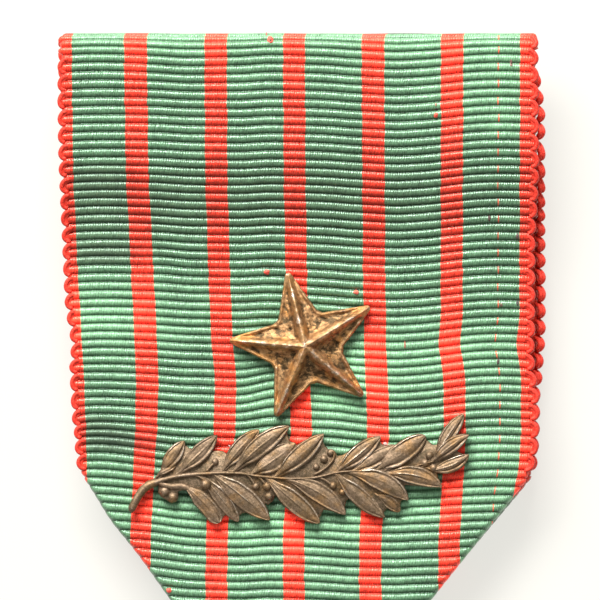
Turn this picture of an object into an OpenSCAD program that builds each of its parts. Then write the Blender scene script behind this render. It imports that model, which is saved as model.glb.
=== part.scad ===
// Military cross medal on its ribbon, lying face up.
// X runs across the ribbon, Y runs up towards its top, and Z = 0 is the surface it lies on.
// Places along the medal are given as a drop, the distance below the ribbon's top fold.

/* [Ribbon] */
// Width of the ribbon
ribbon_w = 37; // [36.6:0.1:37.4]
// Thickness of the cloth wall
cloth_t = 1; // [1:0.02:1.06]
// Drop of the corners where the lower edges fold in
corner_drop = 34.3; // [34:0.1:34.6]
// How far the back layer stands out past the front layer's right edge
back_shift = 0.4; // [0.2:0.1:0.6]
// Depth of the slow waves in the front layer
wave_h = 0.12; // [0:0.02:0.16]

/* [Star] */
// Radius of the star's five tips
star_r = 5.8; // [5.5:0.1:6]
// Radius of the corners between the tips
star_corner_r = 2.75; // [2.6:0.05:2.9]
// Height of the star's centre above its flat back
star_h = 2.1; // [1.8:0.1:2.4]
// Lean of the star to the left, in degrees
star_lean = 13.4; // [0:0.2:20]
// Drop of the star's centre
star_drop = 24.2; // [23.8:0.1:24.6]

/* [Palm] */
// Drop of the line that the palm's places are measured from
palm_drop = 33.75; // [33.5:0.05:34]
// Share of the three heights below that the palm keeps, pressed flat as it is
palm_flat = 0.75; // [0.7:0.05:0.8]
// Thickness of the plate between the leaves
palm_plate_t = 0.4; // [0.35:0.05:0.5]
// Height of a leaf's rim above the palm's flat back
leaf_h = 0.9; // [0.8:0.05:1]
// Height of the stem above the palm's flat back
stem_h = 1.15; // [1:0.05:1.3]

/* [Ring] */
// Diameter of the ring, measured to the middle of its wire
ring_d = 14; // [13.8:0.1:14.2]
// Diameter of the ring's wire
wire_d = 1.4; // [1.3:0.05:1.45]
// Drop of the middle of the wire where the ribbon hangs on it
ring_drop = 49.4; // [49.2:0.1:49.6]

/* [Cross] */
// Width of the cross across its arms
cross_w = 37; // [36:0.5:38]
// Width of an arm at its end
arm_end_w = 15; // [14:0.5:16]
// Width of an arm where it meets the medallion
arm_neck_w = 5.6; // [5:0.2:6.5]
// Thickness of the arms
arm_t = 2; // [1.8:0.1:2.2]
// Width of the raised border round an arm
border_w = 0.8; // [0.6:0.1:1]
// Diameter of the round medallion
disc_d = 14; // [13:0.5:14.5]
// Thickness of the medallion at its rim
disc_t = 3.2; // [3:0.1:3.5]
// Diameter of the ball on the top arm
ball_d = 4.6; // [4.4:0.1:4.7]
// Diameter of the hole that the ring passes through
bore_d = 2.3; // [2.25:0.05:2.4]

/* [Brooch pin] */
// Length of the pin bar
bar_l = 28; // [24:1:32]
// Width of the pin bar
bar_w = 4; // [3:0.5:5]
// Thickness of the pin bar
bar_t = 0.8; // [0.6:0.1:0.9]
// Diameter of the needle
needle_d = 0.9; // [0.8:0.1:1]

/* [Hidden] */

$fn = 48;

// Clear gap between a piece and the piece that carries it
seat_gap = 0.3;
// Clear gap under the two cast ornaments, which press on the cloth
ornament_gap = 0.1;
// Clear gap between the ring's wire and the cloth that wraps it
wire_gap = 0.2;

// Heights. The ball rests on the surface, and the ring and the cloth round it lie level with its middle.
ring_z = ball_d / 2;
bend_r = wire_d / 2 + wire_gap + cloth_t / 2;
front_low = ring_z + bend_r;
back_low = ring_z - bend_r;
bar_z = 2;
fold_r = 0.3 + cloth_t / 2;
back_high = bar_z + bar_t + seat_gap + cloth_t / 2;
front_high = back_high + 2 * fold_r;
ornament_z = front_low + cloth_t / 2 + ornament_gap;

// Places down the medal
bore_shift = 0.15;
ball_drop = ring_drop + ring_d - bore_shift;
ball_sink = 0.4;
cross_drop = ball_drop + ball_d / 2 - ball_sink + cross_w / 2;
total_l = cross_drop + cross_w / 2;

// Half the ribbon's width where it wraps the ring, and how far its middle arches up there
ring_half_w = 4.5;
wrap_r = ring_d / 2 - wire_d / 2 - wire_gap;
ring_arch = wrap_r - sqrt(pow(wrap_r, 2) - pow(ring_half_w, 2));

// Columns of ribbon_rows
DROP = 0;
IN_LEFT = 1;
IN_RIGHT = 2;
FRONT_RISE = 3;
BACK_RISE = 4;
ARCH = 5;
// A row across the ribbon: its drop, how far its left and right edges stand in from the full width,
// how much of the height at the top each layer still has, and how much its middle arches up
ribbon_rows = [
    [cloth_t / 2 + fold_r, 0.05, 0.05, 1, 1, 0],
    [4.5, 0, 0, 1, 1, 0],
    [8, 0, 0, 0.97, 1, 0],
    [10, 0.05, 0, 0.87, 0.8, 0],
    [12, 0.1, 0, 0.6, 0.44, 0],
    [14, 0.15, 0, 0.3, 0.15, 0],
    [16, 0.2, 0, 0.07, 0.02, 0],
    [20, 0.4, 0, 0, 0, 0],
    [23, 0.6, 0, 0, 0, 0],
    [26, 0.8, 0, 0, 0, 0],
    [29, 0.95, 0.1, 0, 0, 0],
    [32.5, 1.2, 0.3, 0, 0, 0],
    [corner_drop, 1.85, 0.6, 0, 0, 0],
    [39, 5.15, 4.5, 0, 0, 0],
    [44, 8.7, 8.5, 0, 0, 0.2],
    [48, 11.55, 11.6, 0, 0, 0.6],
    [ring_drop + ring_arch, ribbon_w / 2 - ring_half_w, ribbon_w / 2 - ring_half_w, 0, 0, 1]
];
corner_row = ribbon_rows[12];
ribbon_columns = 12;
fold_steps = 6;
bend_steps = 7;
// Where the waves of the front layer begin and end, and how they run, in degrees a millimetre
wave_start = 8;
wave_end = 48;
wave_along = 12;
wave_across = 9;

// Where the folded edges end above the ring, and where each folded corner's free end lies
flap_end_drop = 49.2;
flap_end_x = 5.2;
flap_left_point = [-1.9, 39.5];
flap_right_point = [2.6, 37.6];

// The slots in the ribbon's front layer and the prongs through them
prong_w = 1;
prong_t = 0.4;
prong_l = 2.4;
prong_gap = 0.2;
star_prong_x = 1.6;
palm_prong_x = 6;
star_x = 0.5;

// Columns of leaves
BASE_X = 0;
BASE_Y = 1;
TIP_X = 2;
TIP_Y = 3;
WIDTH = 4;
BOW = 5;
LIFT = 6;
// A leaf of the palm: where it leaves the stem, its tip, its width, how far its middle bows to its
// left, and how far it lies above the lowest leaves. Y is measured up from palm_drop.
leaves = [
    [-10.9, -0.5, -8.8, 2.3, 1.25, 0.3, 0.1],
    [-9.6, -0.3, -6.2, 2.75, 1.45, 0.25, 0.1],
    [-5.8, 0, -3.05, 3.15, 1.4, 0.2, 0],
    [-4.9, 0, -0.75, 3.4, 1.55, 0.2, 0.25],
    [-3.3, -0.2, -0.2, 2, 1.25, -0.35, 0.1],
    [-1.8, -0.5, 1.95, 2.8, 1.55, -0.1, 0.2],
    [3, -0.1, 6.35, 2.65, 1.4, 0.25, 0.2],
    [4.4, 0, 7.5, 1.95, 1.15, -0.2, 0.05],
    [6.3, 0.1, 9.8, 2.65, 1.45, -0.05, 0.2],
    [10.4, 0.8, 12.8, 4.35, 1.1, 0.15, 0.1],
    [10.3, 0.6, 13.15, 2.75, 1.15, 0.15, 0.25],
    [10.2, 0, 13.15, 1.2, 1.1, -0.25, 0],
    [-8.75, -0.7, -6.4, -4.05, 1.4, 0.35, 0.15],
    [-7.2, -0.6, -4.55, -3.95, 1.1, 0.1, 0],
    [-6.6, -0.3, -2.2, -3.8, 1.7, 0.1, 0.15],
    [-2.2, -0.7, 1.75, -4.1, 1.4, -0.05, 0.25],
    [-0.9, -0.7, 3.65, -3.4, 1.55, 0.4, 0.05],
    [2.9, -0.3, 6.65, -3.65, 1.4, -0.1, 0.05],
    [4, -0.2, 8.45, -2.35, 1.55, 0.45, 0.25],
    [5.6, -1.6, 7.8, -3.35, 0.95, 0.1, -0.1],
    [6.8, -0.3, 11.05, -1.3, 1.45, 0.4, 0.2]
];
// Share of a leaf's full half width at each share of its length
leaf_outline = [[0, 0.16], [0.15, 0.5], [0.35, 0.9], [0.55, 1], [0.75, 0.84], [0.9, 0.48], [1, 0.08]];

// The stem: place and half width, from its cut end to its tip
stem_points = [
    [-12.95, -3.1, 0.32], [-12.5, -2.2, 0.32], [-11.8, -1.25, 0.32], [-10.5, -0.5, 0.3],
    [-8.3, -0.15, 0.26], [-5.7, 0, 0.24], [-3.6, -0.25, 0.22], [-0.7, -0.6, 0.2],
    [1.5, -0.45, 0.2], [3, -0.05, 0.2], [6, 0, 0.18], [8.5, 0.2, 0.16], [10.5, 0.75, 0.14]
];
// The plate between the leaves: place and half width of the strip
plate_points = [
    [-10.2, -0.9, 0.6], [-8, 0.2, 0.9], [-6, 0.2, 1.3], [-3.6, -0.4, 1.5], [-0.5, 0, 1.5],
    [2.2, 0, 1.5], [3.6, -0.4, 1.4], [6.4, 0, 1.3], [9, 0.3, 0.9], [10.6, 0.8, 0.8]
];
// The berries: place and radius
berries = [
    [-10.35, -1.65, 0.4], [-9.7, -2.1, 0.42], [-7.15, -1.1, 0.42], [-6.45, 0.65, 0.28],
    [-3.3, -1.25, 0.32], [-2.45, -1.25, 0.36], [-2.3, -2.05, 0.36], [1.35, 0.25, 0.26],
    [1.95, 0.85, 0.32], [2.45, 1.35, 0.3], [2.65, -1.2, 0.3], [3.35, -1.75, 0.3],
    [10.1, 1.15, 0.26], [9.8, 0.6, 0.32], [10.4, 0.15, 0.32]
];

// Share of the way from a to b
function between(a, b, share) = a + (b - a) * share;

// One station of the ribbon's loop: its edges' Y and Z, its left and right edge, and its arch
function row_station(row, layer_z, shift) = [
    -row[DROP],
    layer_z,
    -ribbon_w / 2 + row[IN_LEFT] + shift,
    ribbon_w / 2 - row[IN_RIGHT] + shift,
    row[ARCH] * ring_arch
];
function shift_at(row) = back_shift * (1 - smooth(row[DROP], corner_drop - 4, corner_drop + 10));
function smooth(value, start, end) = let (s = min(1, max(0, (value - start) / (end - start))))
    s * s * (3 - 2 * s);

first_row = ribbon_rows[0];
last_row = ribbon_rows[len(ribbon_rows) - 1];

// The middle surface of the cloth all round: over the top, down the front, round the ring, up the back
ribbon_loop = concat(
    [for (i = [1:fold_steps - 1]) let (a = -90 + 180 * i / fold_steps) [
        -first_row[DROP] + fold_r * cos(a),
        (front_high + back_high) / 2 + fold_r * sin(a),
        -ribbon_w / 2 + first_row[IN_LEFT] + back_shift * (1 - i / fold_steps),
        ribbon_w / 2 - first_row[IN_RIGHT] + back_shift * (1 - i / fold_steps),
        0
    ]],
    [for (row = ribbon_rows) row_station(row, between(front_low, front_high, row[FRONT_RISE]), 0)],
    [for (i = [1:bend_steps - 1]) let (a = 90 + 180 * i / bend_steps) [
        -last_row[DROP] + bend_r * cos(a),
        ring_z + bend_r * sin(a),
        -ring_half_w,
        ring_half_w,
        ring_arch
    ]],
    [for (i = [len(ribbon_rows) - 1:-1:0]) let (row = ribbon_rows[i])
        row_station(row, between(back_low, back_high, row[BACK_RISE]), shift_at(row))]
);

// The outward direction at a station, in Y and Z
function loop_normal(k) = let (
    n = len(ribbon_loop),
    ahead = ribbon_loop[(k + 1) % n],
    behind = ribbon_loop[(k + n - 1) % n],
    run = [ahead[0] - behind[0], ahead[1] - behind[1]]
) [run[1], -run[0]] / norm(run);

// Slow waves that only lower the front layer, and leave the top and the ring alone
function wave(x, y, z) = z < front_low - cloth_t / 2 ? 0 :
    wave_h * smooth(-y, wave_start, wave_start + 6) * (1 - smooth(-y, wave_end - 4, wave_end))
        * (1 - sin(wave_along * y + wave_across * x)) / 2;

// A point of the cloth: station k, share across from left to right, side 1 outside and -1 inside
function cloth_point(k, share, side) = let (
    s = ribbon_loop[k],
    x = between(s[2], s[3], share),
    u = 2 * share - 1,
    off = loop_normal(k) * side * cloth_t / 2
) [x, s[0] + s[4] * (1 - u * u) + off[0], s[1] + off[1] - wave(x, s[0], s[1])];

// A closed loop of cloth
module cloth_loop() {
    n = len(ribbon_loop);
    m = ribbon_columns;
    around = 2 * (m + 1);
    points = [for (k = [0:n - 1]) each concat(
        [for (i = [0:m]) cloth_point(k, i / m, 1)],
        [for (i = [m:-1:0]) cloth_point(k, i / m, -1)]
    )];
    faces = [for (k = [0:n - 1]) for (j = [0:around - 1]) let (
        k2 = (k + 1) % n,
        j2 = (j + 1) % around,
        a = k * around + j,
        b = k * around + j2,
        c = k2 * around + j2,
        d = k2 * around + j
    ) each [[a, b, c], [a, c, d]]];
    polyhedron(points, faces);
}

// One lower corner: the edge folded in from front and back, and the flap that lies between the layers
module folded_corner(corner_x, end_x, flap_point) {
    r = cloth_t / 2;
    flap_z = ring_z - cloth_t / 2;
    inset = corner_x > 0 ? -r : r;
    corner = [corner_x + inset, corner_drop + r];
    hull() {
        for (p = [corner, [end_x, flap_end_drop]])
            translate([p[0], -p[1], back_low - r])
                cylinder(h = front_low - back_low + cloth_t, r = r, $fn = 16);
    }
    hull() {
        for (p = [corner, [end_x, flap_end_drop - 1], flap_point])
            translate([p[0], -p[1], flap_z])
                cylinder(h = cloth_t, r = r, $fn = 16);
    }
}

// A slot with round ends through the ribbon's front layer
module prong_slot(x, drop) {
    r = prong_t / 2 + prong_gap;
    hull() {
        for (side = [-1, 1])
            translate([x + side * (prong_w / 2 + prong_gap - r), -drop, front_low - cloth_t])
                cylinder(h = 2 * cloth_t, r = r, $fn = 16);
    }
}

// A flat prong down through the ribbon, bent up the ribbon behind its front layer
module prong(x, drop) {
    foot_z = front_low - cloth_t / 2 - seat_gap - prong_t;
    translate([x - prong_w / 2, -drop - prong_t / 2, foot_z])
        cube([prong_w, prong_t, ornament_z + palm_plate_t / 2 - foot_z]);
    translate([x - prong_w / 2, -drop - prong_t / 2, foot_z])
        cube([prong_w, prong_l, prong_t]);
}

module ribbon() {
    color("mediumseagreen")
    place()
    difference() {
        union() {
            cloth_loop();
            folded_corner(-ribbon_w / 2 + corner_row[IN_LEFT], -flap_end_x, flap_left_point);
            folded_corner(ribbon_w / 2 - corner_row[IN_RIGHT], flap_end_x, flap_right_point);
        }
        for (side = [-1, 1]) {
            prong_slot(star_x + side * star_prong_x, star_drop);
            prong_slot(side * palm_prong_x, palm_drop);
        }
    }
}

// The star's rim, seen from above: each tip is blunt, with its ridge a little higher
module star_body() {
    rim_t = 0.7;
    ridge_t = 0.35;
    blunt = 4;
    rim = [for (i = [0:4]) let (a = 90 + 72 * i) each [
        [star_r * 0.965 * cos(a - blunt), star_r * 0.965 * sin(a - blunt), rim_t],
        [star_r * cos(a), star_r * sin(a), rim_t + ridge_t],
        [star_r * 0.965 * cos(a + blunt), star_r * 0.965 * sin(a + blunt), rim_t],
        [star_corner_r * cos(a + 36), star_corner_r * sin(a + 36), rim_t]
    ]];
    n = len(rim);
    points = concat(rim, [for (p = rim) [p[0], p[1], 0]], [[0, 0, star_h], [0, 0, 0]]);
    faces = [for (i = [0:n - 1]) let (j = (i + 1) % n) each [
        [j, i, 2 * n],
        [i, j, n + j],
        [i, n + j, n + i],
        [n + i, n + j, 2 * n + 1]
    ]];
    polyhedron(points, faces);
}

module star() {
    color("peru")
    place() {
        translate([star_x, -star_drop, ornament_z]) rotate([0, 0, star_lean]) star_body();
        for (side = [-1, 1])
            prong(star_x + side * star_prong_x, star_drop);
    }
}

// One leaf, lofted along a bowed line, with a raised rim and a raised rib along its middle
module leaf(row) {
    base = [row[BASE_X], row[BASE_Y]];
    tip = [row[TIP_X], row[TIP_Y]];
    along = (tip - base) / norm(tip - base);
    left = [-along[1], along[0]];
    top = leaf_h + row[LIFT];
    n = len(leaf_outline);
    sections = [for (step = leaf_outline) let (
        t = step[0],
        mid = base + (tip - base) * t + left * row[BOW] * 4 * t * (1 - t),
        turn = row[BOW] * 4 * (1 - 2 * t) / norm(tip - base),
        across = [left[0] - along[0] * turn, left[1] - along[1] * turn] / sqrt(1 + turn * turn),
        w = step[1] * row[WIDTH] / 2,
        droop = 0.3 * t * t
    ) [for (q = [[1, 0], [1, top - droop], [0.5, top - 0.18 - droop], [0, top + 0.02 - droop],
                 [-0.5, top - 0.18 - droop], [-1, top - droop], [-1, 0]])
        [mid[0] + across[0] * q[0] * w, mid[1] + across[1] * q[0] * w, q[1]]]];
    around = 7;
    faces = concat(
        [for (k = [0:n - 2]) for (j = [0:around - 1]) let (
            j2 = (j + 1) % around,
            a = k * around + j,
            b = k * around + j2,
            c = b + around,
            d = a + around
        ) each [[a, c, b], [a, d, c]]],
        [for (j = [1:around - 2]) [0, j, j + 1]],
        [for (j = [1:around - 2]) let (e = (n - 1) * around) [e, e + j + 1, e + j]]
    );
    polyhedron([for (s = sections) each s], faces);
}

// A strip through points with a half width each, with sides that lean in towards its top
module strip(points, height, top_share) {
    for (i = [0:len(points) - 2])
        hull() {
            for (p = [points[i], points[i + 1]])
                translate([p[0], p[1], 0]) cylinder(h = height, r1 = p[2], r2 = p[2] * top_share, $fn = 10);
        }
}

module palm() {
    color("#8a6a4a")
    place() {
        translate([0, -palm_drop, ornament_z]) scale([1, 1, palm_flat]) {
            strip(plate_points, palm_plate_t, 0.9);
            strip(stem_points, stem_h, 0.5);
            for (row = leaves)
                leaf(row);
            for (b = berries)
                translate([b[0], b[1], leaf_h + 0.1 - b[2]]) {
                    sphere(r = b[2], $fn = 10);
                    translate([0, 0, b[2] - leaf_h - 0.1]) cylinder(h = leaf_h + 0.1 - b[2], r = b[2], $fn = 10);
                }
        }
        for (side = [-1, 1])
            prong(side * palm_prong_x, palm_drop);
    }
}

module ring() {
    color("goldenrod")
    place()
    translate([0, -ring_drop - ring_d / 2, ring_z])
        rotate_extrude($fn = 96)
            translate([ring_d / 2, 0]) circle(d = wire_d, $fn = 32);
}

// Half the width of an arm at a distance from the cross's centre
function arm_half_w(r) = let (s = max(0, (r - arm_start) / (cross_w / 2 - arm_start)))
    between(arm_neck_w, arm_end_w, pow(s, 1.4)) / 2;
arm_start = 4.5;
arm_steps = 8;
arm_z = 0.5;
relief = 0.4;
neck_l = 1.2;

// The outline of one arm, along +Y, drawn in from its edge by inset
module arm_outline(start, inset) {
    side = [for (i = [0:arm_steps]) let (r = between(start, cross_w / 2 - inset, i / arm_steps))
        [arm_half_w(r) - inset, r]];
    polygon(concat(side, [for (i = [arm_steps:-1:0]) [-side[i][0], side[i][1]]]));
}

// One arm of the cross, with a sunk field inside its border
module arm() {
    translate([0, 0, arm_z])
    difference() {
        linear_extrude(arm_t) arm_outline(0, 0);
        translate([0, 0, arm_t - relief]) linear_extrude(2 * relief) arm_outline(arm_start, border_w);
    }
}

// One sword, along +Y, with its hilt at the bottom
module sword() {
    blade_w = 1.7;
    blade_l = 18;
    grip_l = 4.4;
    hilt_r = 12;
    translate([0, 0, arm_z + 0.3]) {
        linear_extrude(arm_t - 0.8)
            polygon([[-blade_w / 2, -hilt_r], [blade_w / 2, -hilt_r], [blade_w / 2, blade_l - 2], [0, blade_l],
                     [-blade_w / 2, blade_l - 2]]);
        translate([0, -hilt_r, 0]) {
            translate([-2.4, -0.5, 0]) cube([4.8, 1, arm_t - 0.5]);
            translate([-0.8, -grip_l, 0]) cube([1.6, grip_l, arm_t - 0.5]);
            translate([0, -grip_l - 0.5, 0]) cylinder(h = arm_t - 0.5, r = 1.2);
        }
    }
}

module cross() {
    color("darkgoldenrod")
    place()
    difference() {
        union() {
            translate([0, -cross_drop, 0]) {
                for (a = [0:90:270])
                    rotate([0, 0, a]) arm();
                for (a = [-45, 45])
                    rotate([0, 0, a]) sword();
                difference() {
                    cylinder(h = disc_t, d = disc_d);
                    translate([0, 0, disc_t - relief]) cylinder(h = 2 * relief, d = disc_d - 2 * border_w);
                }
            }
            translate([0, -ball_drop, ball_d / 2]) rotate([0, 90, 0]) sphere(d = ball_d);
            translate([0, -cross_drop + cross_w / 2 + neck_l / 2, arm_z + arm_t / 2])
                rotate([90, 0, 0]) cylinder(h = neck_l, d = 1.8);
        }
        translate([-ball_d, -ball_drop, ball_d / 2]) rotate([0, 90, 0]) cylinder(h = 2 * ball_d, d = bore_d);
    }
}

module brooch_pin() {
    bar_drop = 5.2;
    ear_x = bar_l / 2 - 2;
    ear_t = 1.4;
    ear_w = 2.6;
    needle_z = 0.75;
    color("silver")
    place()
    translate([0, -bar_drop, 0]) {
        translate([-bar_l / 2, -bar_w / 2, bar_z]) cube([bar_l, bar_w, bar_t]);
        for (side = [-1, 1])
            translate([side * ear_x - ear_t / 2, -ear_w / 2, 0]) cube([ear_t, ear_w, bar_z]);
        translate([-ear_x, 0, needle_z]) rotate([0, 90, 0]) cylinder(h = 2 * ear_x, d = needle_d);
    }
}

// Puts the middle of the whole medal over the origin
module place() {
    translate([-back_shift / 2, total_l / 2, 0]) children();
}

ribbon();
star();
palm();
ring();
cross();
brooch_pin();
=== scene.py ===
import math
from itertools import product

import bpy
import numpy as np
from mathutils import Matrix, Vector, noise
from mathutils.bvhtree import BVHTree


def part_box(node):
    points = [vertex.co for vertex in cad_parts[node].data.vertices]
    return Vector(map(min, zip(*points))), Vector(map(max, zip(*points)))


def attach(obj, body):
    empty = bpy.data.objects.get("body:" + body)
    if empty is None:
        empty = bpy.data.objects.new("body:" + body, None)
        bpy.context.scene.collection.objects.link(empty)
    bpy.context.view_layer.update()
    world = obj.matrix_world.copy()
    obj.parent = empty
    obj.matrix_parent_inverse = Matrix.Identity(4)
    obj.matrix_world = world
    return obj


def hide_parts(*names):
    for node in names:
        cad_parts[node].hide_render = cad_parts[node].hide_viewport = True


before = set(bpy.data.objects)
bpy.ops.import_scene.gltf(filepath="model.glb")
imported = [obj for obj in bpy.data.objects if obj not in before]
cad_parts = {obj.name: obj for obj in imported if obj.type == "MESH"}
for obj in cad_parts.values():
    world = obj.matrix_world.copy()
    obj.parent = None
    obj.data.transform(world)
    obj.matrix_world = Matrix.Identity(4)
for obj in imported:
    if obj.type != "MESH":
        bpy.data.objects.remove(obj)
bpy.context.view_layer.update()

# The medal lies on its back. Places on it are worked out in millimetres: x across the ribbon from
# its middle, drop down from its top fold, z up from the surface that it lies on.
MM = 0.001
RIBBON_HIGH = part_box("ribbon")[1]
RING_LOW, RING_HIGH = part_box("ring")
STAR_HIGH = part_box("star")[1]
CROSS_LOW, CROSS_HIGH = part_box("cross")
PIN_LOW, PIN_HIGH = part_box("brooch_pin")

RIBBON_W = 37.0
MIDDLE_X = (RING_LOW.x + RING_HIGH.x) / 2
TOP_Y = RIBBON_HIGH.y

# Sizes that the frame gives, in millimetres
RING_Z = (RING_LOW.z + RING_HIGH.z) / 2 / MM
WIRE_R = (RING_HIGH.z - RING_LOW.z) / 2 / MM
RING_R = (RING_HIGH.x - RING_LOW.x) / 2 / MM - WIRE_R
RING_DROP = (TOP_Y - RING_HIGH.y) / MM + WIRE_R
PIN_TOP = PIN_HIGH.z / MM
FOLD_TOP = RIBBON_HIGH.z / MM

# The photograph's frame: 600 pixels a side, 12.95 of them to a millimetre
PHOTO_PX = 600.0
PX_PER_MM = 12.95
MIDDLE_PX = 298.7
TOP_PX = 33.0


def px(value):
    """A length in pixels of the photograph, in millimetres."""
    return value / PX_PER_MM


def x_of(column):
    """The place x of a pixel column of the photograph."""
    return px(column - MIDDLE_PX)


def drop_of(row):
    """The drop of a pixel row of the photograph."""
    return px(row - TOP_PX)


def across_px(x):
    """The photograph's pixel column of a place x."""
    return x * PX_PER_MM + MIDDLE_PX


def down_px(drop):
    """The photograph's pixel row of a drop."""
    return drop * PX_PER_MM + TOP_PX


def to_frame(points):
    """Points as x, drop and z in millimetres, in the row frame in metres."""
    x, drop, z = np.moveaxis(np.asarray(points, float), -1, 0)
    return np.stack([MIDDLE_X + x * MM, TOP_Y - drop * MM, z * MM], axis=-1)


def smooth(value, start, end):
    """0 before start, 1 after end, and a smooth step between."""
    s = np.clip((np.asarray(value, float) - start) / (end - start), 0, 1)
    return s * s * (3 - 2 * s)


def between(t, step, start, end, slope_in, slope_out):
    """The cubic from start to end at a share t of a step, with the given slopes at its two ends."""
    return (
        start * (1 + 2 * t) * (1 - t) ** 2
        + slope_in * step * t * (1 - t) ** 2
        + end * t * t * (3 - 2 * t)
        + slope_out * step * t * t * (t - 1)
    )


def curve(knots):
    """A smooth function through (place, value) knots that never overshoots them."""
    xs, ys = (np.array(k, float) for k in zip(*knots))
    steps, slopes = np.diff(xs), np.diff(ys) / np.diff(xs)
    at = np.zeros(len(xs))
    for i in range(1, len(xs) - 1):
        if slopes[i - 1] * slopes[i] > 0:
            a, b = 2 * steps[i] + steps[i - 1], steps[i] + 2 * steps[i - 1]
            at[i] = (a + b) / (a / slopes[i - 1] + b / slopes[i])
    at[0], at[-1] = slopes[0], slopes[-1]

    def value(x):
        x = np.clip(np.asarray(x, float), xs[0], xs[-1])
        i = np.clip(np.searchsorted(xs, x, side="right") - 1, 0, len(xs) - 2)
        return between((x - xs[i]) / steps[i], steps[i], ys[i], ys[i + 1], at[i], at[i + 1])

    return value


def hump(value, half, power=2):
    """1 where value is 0, falling softly to about a third at half."""
    return math.exp(-((value / half) ** power))


def patch_sum(patches, across, down):
    """The sum of soft patches: each has a middle, half sizes and a value, all in pixels."""
    total = 0.0 * across
    for a, b, half_a, half_b, value in patches:
        total = total + value * np.exp(-(((across - a) / half_a) ** 2) - ((down - b) / half_b) ** 2)
    return total


def grain(x, y, scale, seed):
    """Smooth noise from -1 to 1 at a place."""
    return noise.noise((x * scale, y * scale, seed))


def unit(vectors):
    """Each row of vectors as a direction of length 1."""
    return vectors / np.linalg.norm(vectors, axis=1)[:, None]


def left_of(runs):
    """The direction to the left of each direction in a plane."""
    return np.stack([-runs[:, 1], runs[:, 0]], 1)


def distances(points):
    """How far along a line of points each of them lies."""
    return np.concatenate([[0], np.cumsum(np.linalg.norm(np.diff(points, axis=0), axis=1))])


def smooth_line(points, count):
    """A smooth line of count points through the given ones, evenly spaced by their first two values."""
    points = np.array(points, float)
    at = distances(points[:, :2])
    places = np.linspace(0, at[-1], count)
    return np.stack([curve(list(zip(at, values)))(places) for values in points.T], 1)


def circle(count):
    """The angles of count even steps round a circle."""
    return [2 * math.pi * i / count for i in range(count)]


def make_piece(name, points, faces, material, attributes):
    """A smooth-shaded mesh piece that rides on the body, from points in medal millimetres."""
    mesh = bpy.data.meshes.new(name)
    mesh.from_pydata([tuple(p) for p in to_frame(points)], [], [tuple(f) for f in faces])
    mesh.shade_smooth()
    for key, values in attributes.items():
        values = np.asarray(values, np.float32)
        kind, field = ("FLOAT_VECTOR", "vector") if values.ndim == 2 else ("FLOAT", "value")
        layer = mesh.attributes.new(key, kind, "POINT")
        layer.data.foreach_set(field, values.ravel())
    mesh.materials.append(material)
    piece = bpy.data.objects.new(name, mesh)
    bpy.context.scene.collection.objects.link(piece)
    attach(piece, "root")
    return piece


class Mesh:
    """Points, faces and one attribute of each point, gathered from several forms for one piece."""

    def __init__(self, name):
        self.name = name
        self.points, self.faces, self.values = [], [], []

    def add(self, points, faces, value):
        """value is one for all the points, or a list with one for each."""
        first = len(self.points)
        self.points.extend(points)
        self.faces.extend([tuple(first + i for i in f) for f in faces])
        self.values.extend(value if isinstance(value, list) else [value] * len(points))

    def add_loft(self, rings, values):
        """Adds a closed form through rings of points, with flat ends.

        values has one for each ring, or for each ring a tuple with one for each of its points.
        """
        count = len(rings[0])
        each = [v if isinstance(v, tuple) else (v,) * count for v in values]
        points = [p for ring in rings for p in ring]
        self.add(points, loft_faces(len(rings), count), [v for row in each for v in row])

    def piece(self, name, material):
        return make_piece(name, self.points, self.faces, material, {self.name: self.values})


def grid_faces(rows, columns, close_rows=False):
    """Quads between rows of points, each row a closed ring of columns points."""
    faces = []
    for r in range(rows if close_rows else rows - 1):
        for c in range(columns):
            r2, c2 = (r + 1) % rows, (c + 1) % columns
            faces.append((r * columns + c, r * columns + c2, r2 * columns + c2, r2 * columns + c))
    return faces


def flip(faces):
    return [tuple(reversed(f)) for f in faces]


def fan_faces(tip, first, count):
    """Triangles from a tip to a ring of count points."""
    return [(tip, first + i, first + (i + 1) % count) for i in range(count)]


def loft_faces(rows, columns):
    """Quads round rows of points, with a flat face at each end."""
    ring = tuple(range(columns))
    return grid_faces(rows, columns) + [ring[::-1], tuple((rows - 1) * columns + i for i in ring)]


def tipped_faces(rows, columns):
    """Quads round rows of points, with a fan at each end to the two points that follow them."""
    count = rows * columns
    near, far = fan_faces(count, 0, columns), fan_faces(count + 1, count - columns, columns)
    return grid_faces(rows, columns) + flip(near) + far


# Camera and light

CAMERA_AWAY = 0.62
SENSOR = 36.0
RIBBON_FACE_Z = 0.0042
KEY_PLACE, KEY_TARGET = (-0.11, 0.42, 0.31), (0, 0.02, 0)
KEY_SIZE, KEY_POWER = (0.40, 0.20), 8.4
SKY_STRENGTH = 0.5
FLOOR_HALF = 1.5
FLOOR_COLOUR, FLOOR_GLOW = (0.17, 0.163, 0.150, 1), 0.71


def add_camera():
    """Looks straight down on the ribbon, with the photograph's frame."""
    data = bpy.data.cameras.new("camera")
    camera = bpy.data.objects.new("camera", data)
    bpy.context.scene.collection.objects.link(camera)
    x = MIDDLE_X + x_of(PHOTO_PX / 2) * MM
    y = TOP_Y - drop_of(PHOTO_PX / 2) * MM
    camera.location = (x, y, RIBBON_FACE_Z + CAMERA_AWAY)
    data.sensor_fit = "HORIZONTAL"
    data.sensor_width = SENSOR
    data.lens = SENSOR * CAMERA_AWAY / (px(PHOTO_PX) * MM)
    data.clip_start, data.clip_end = 0.01, 10
    bpy.context.scene.camera = camera


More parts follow.
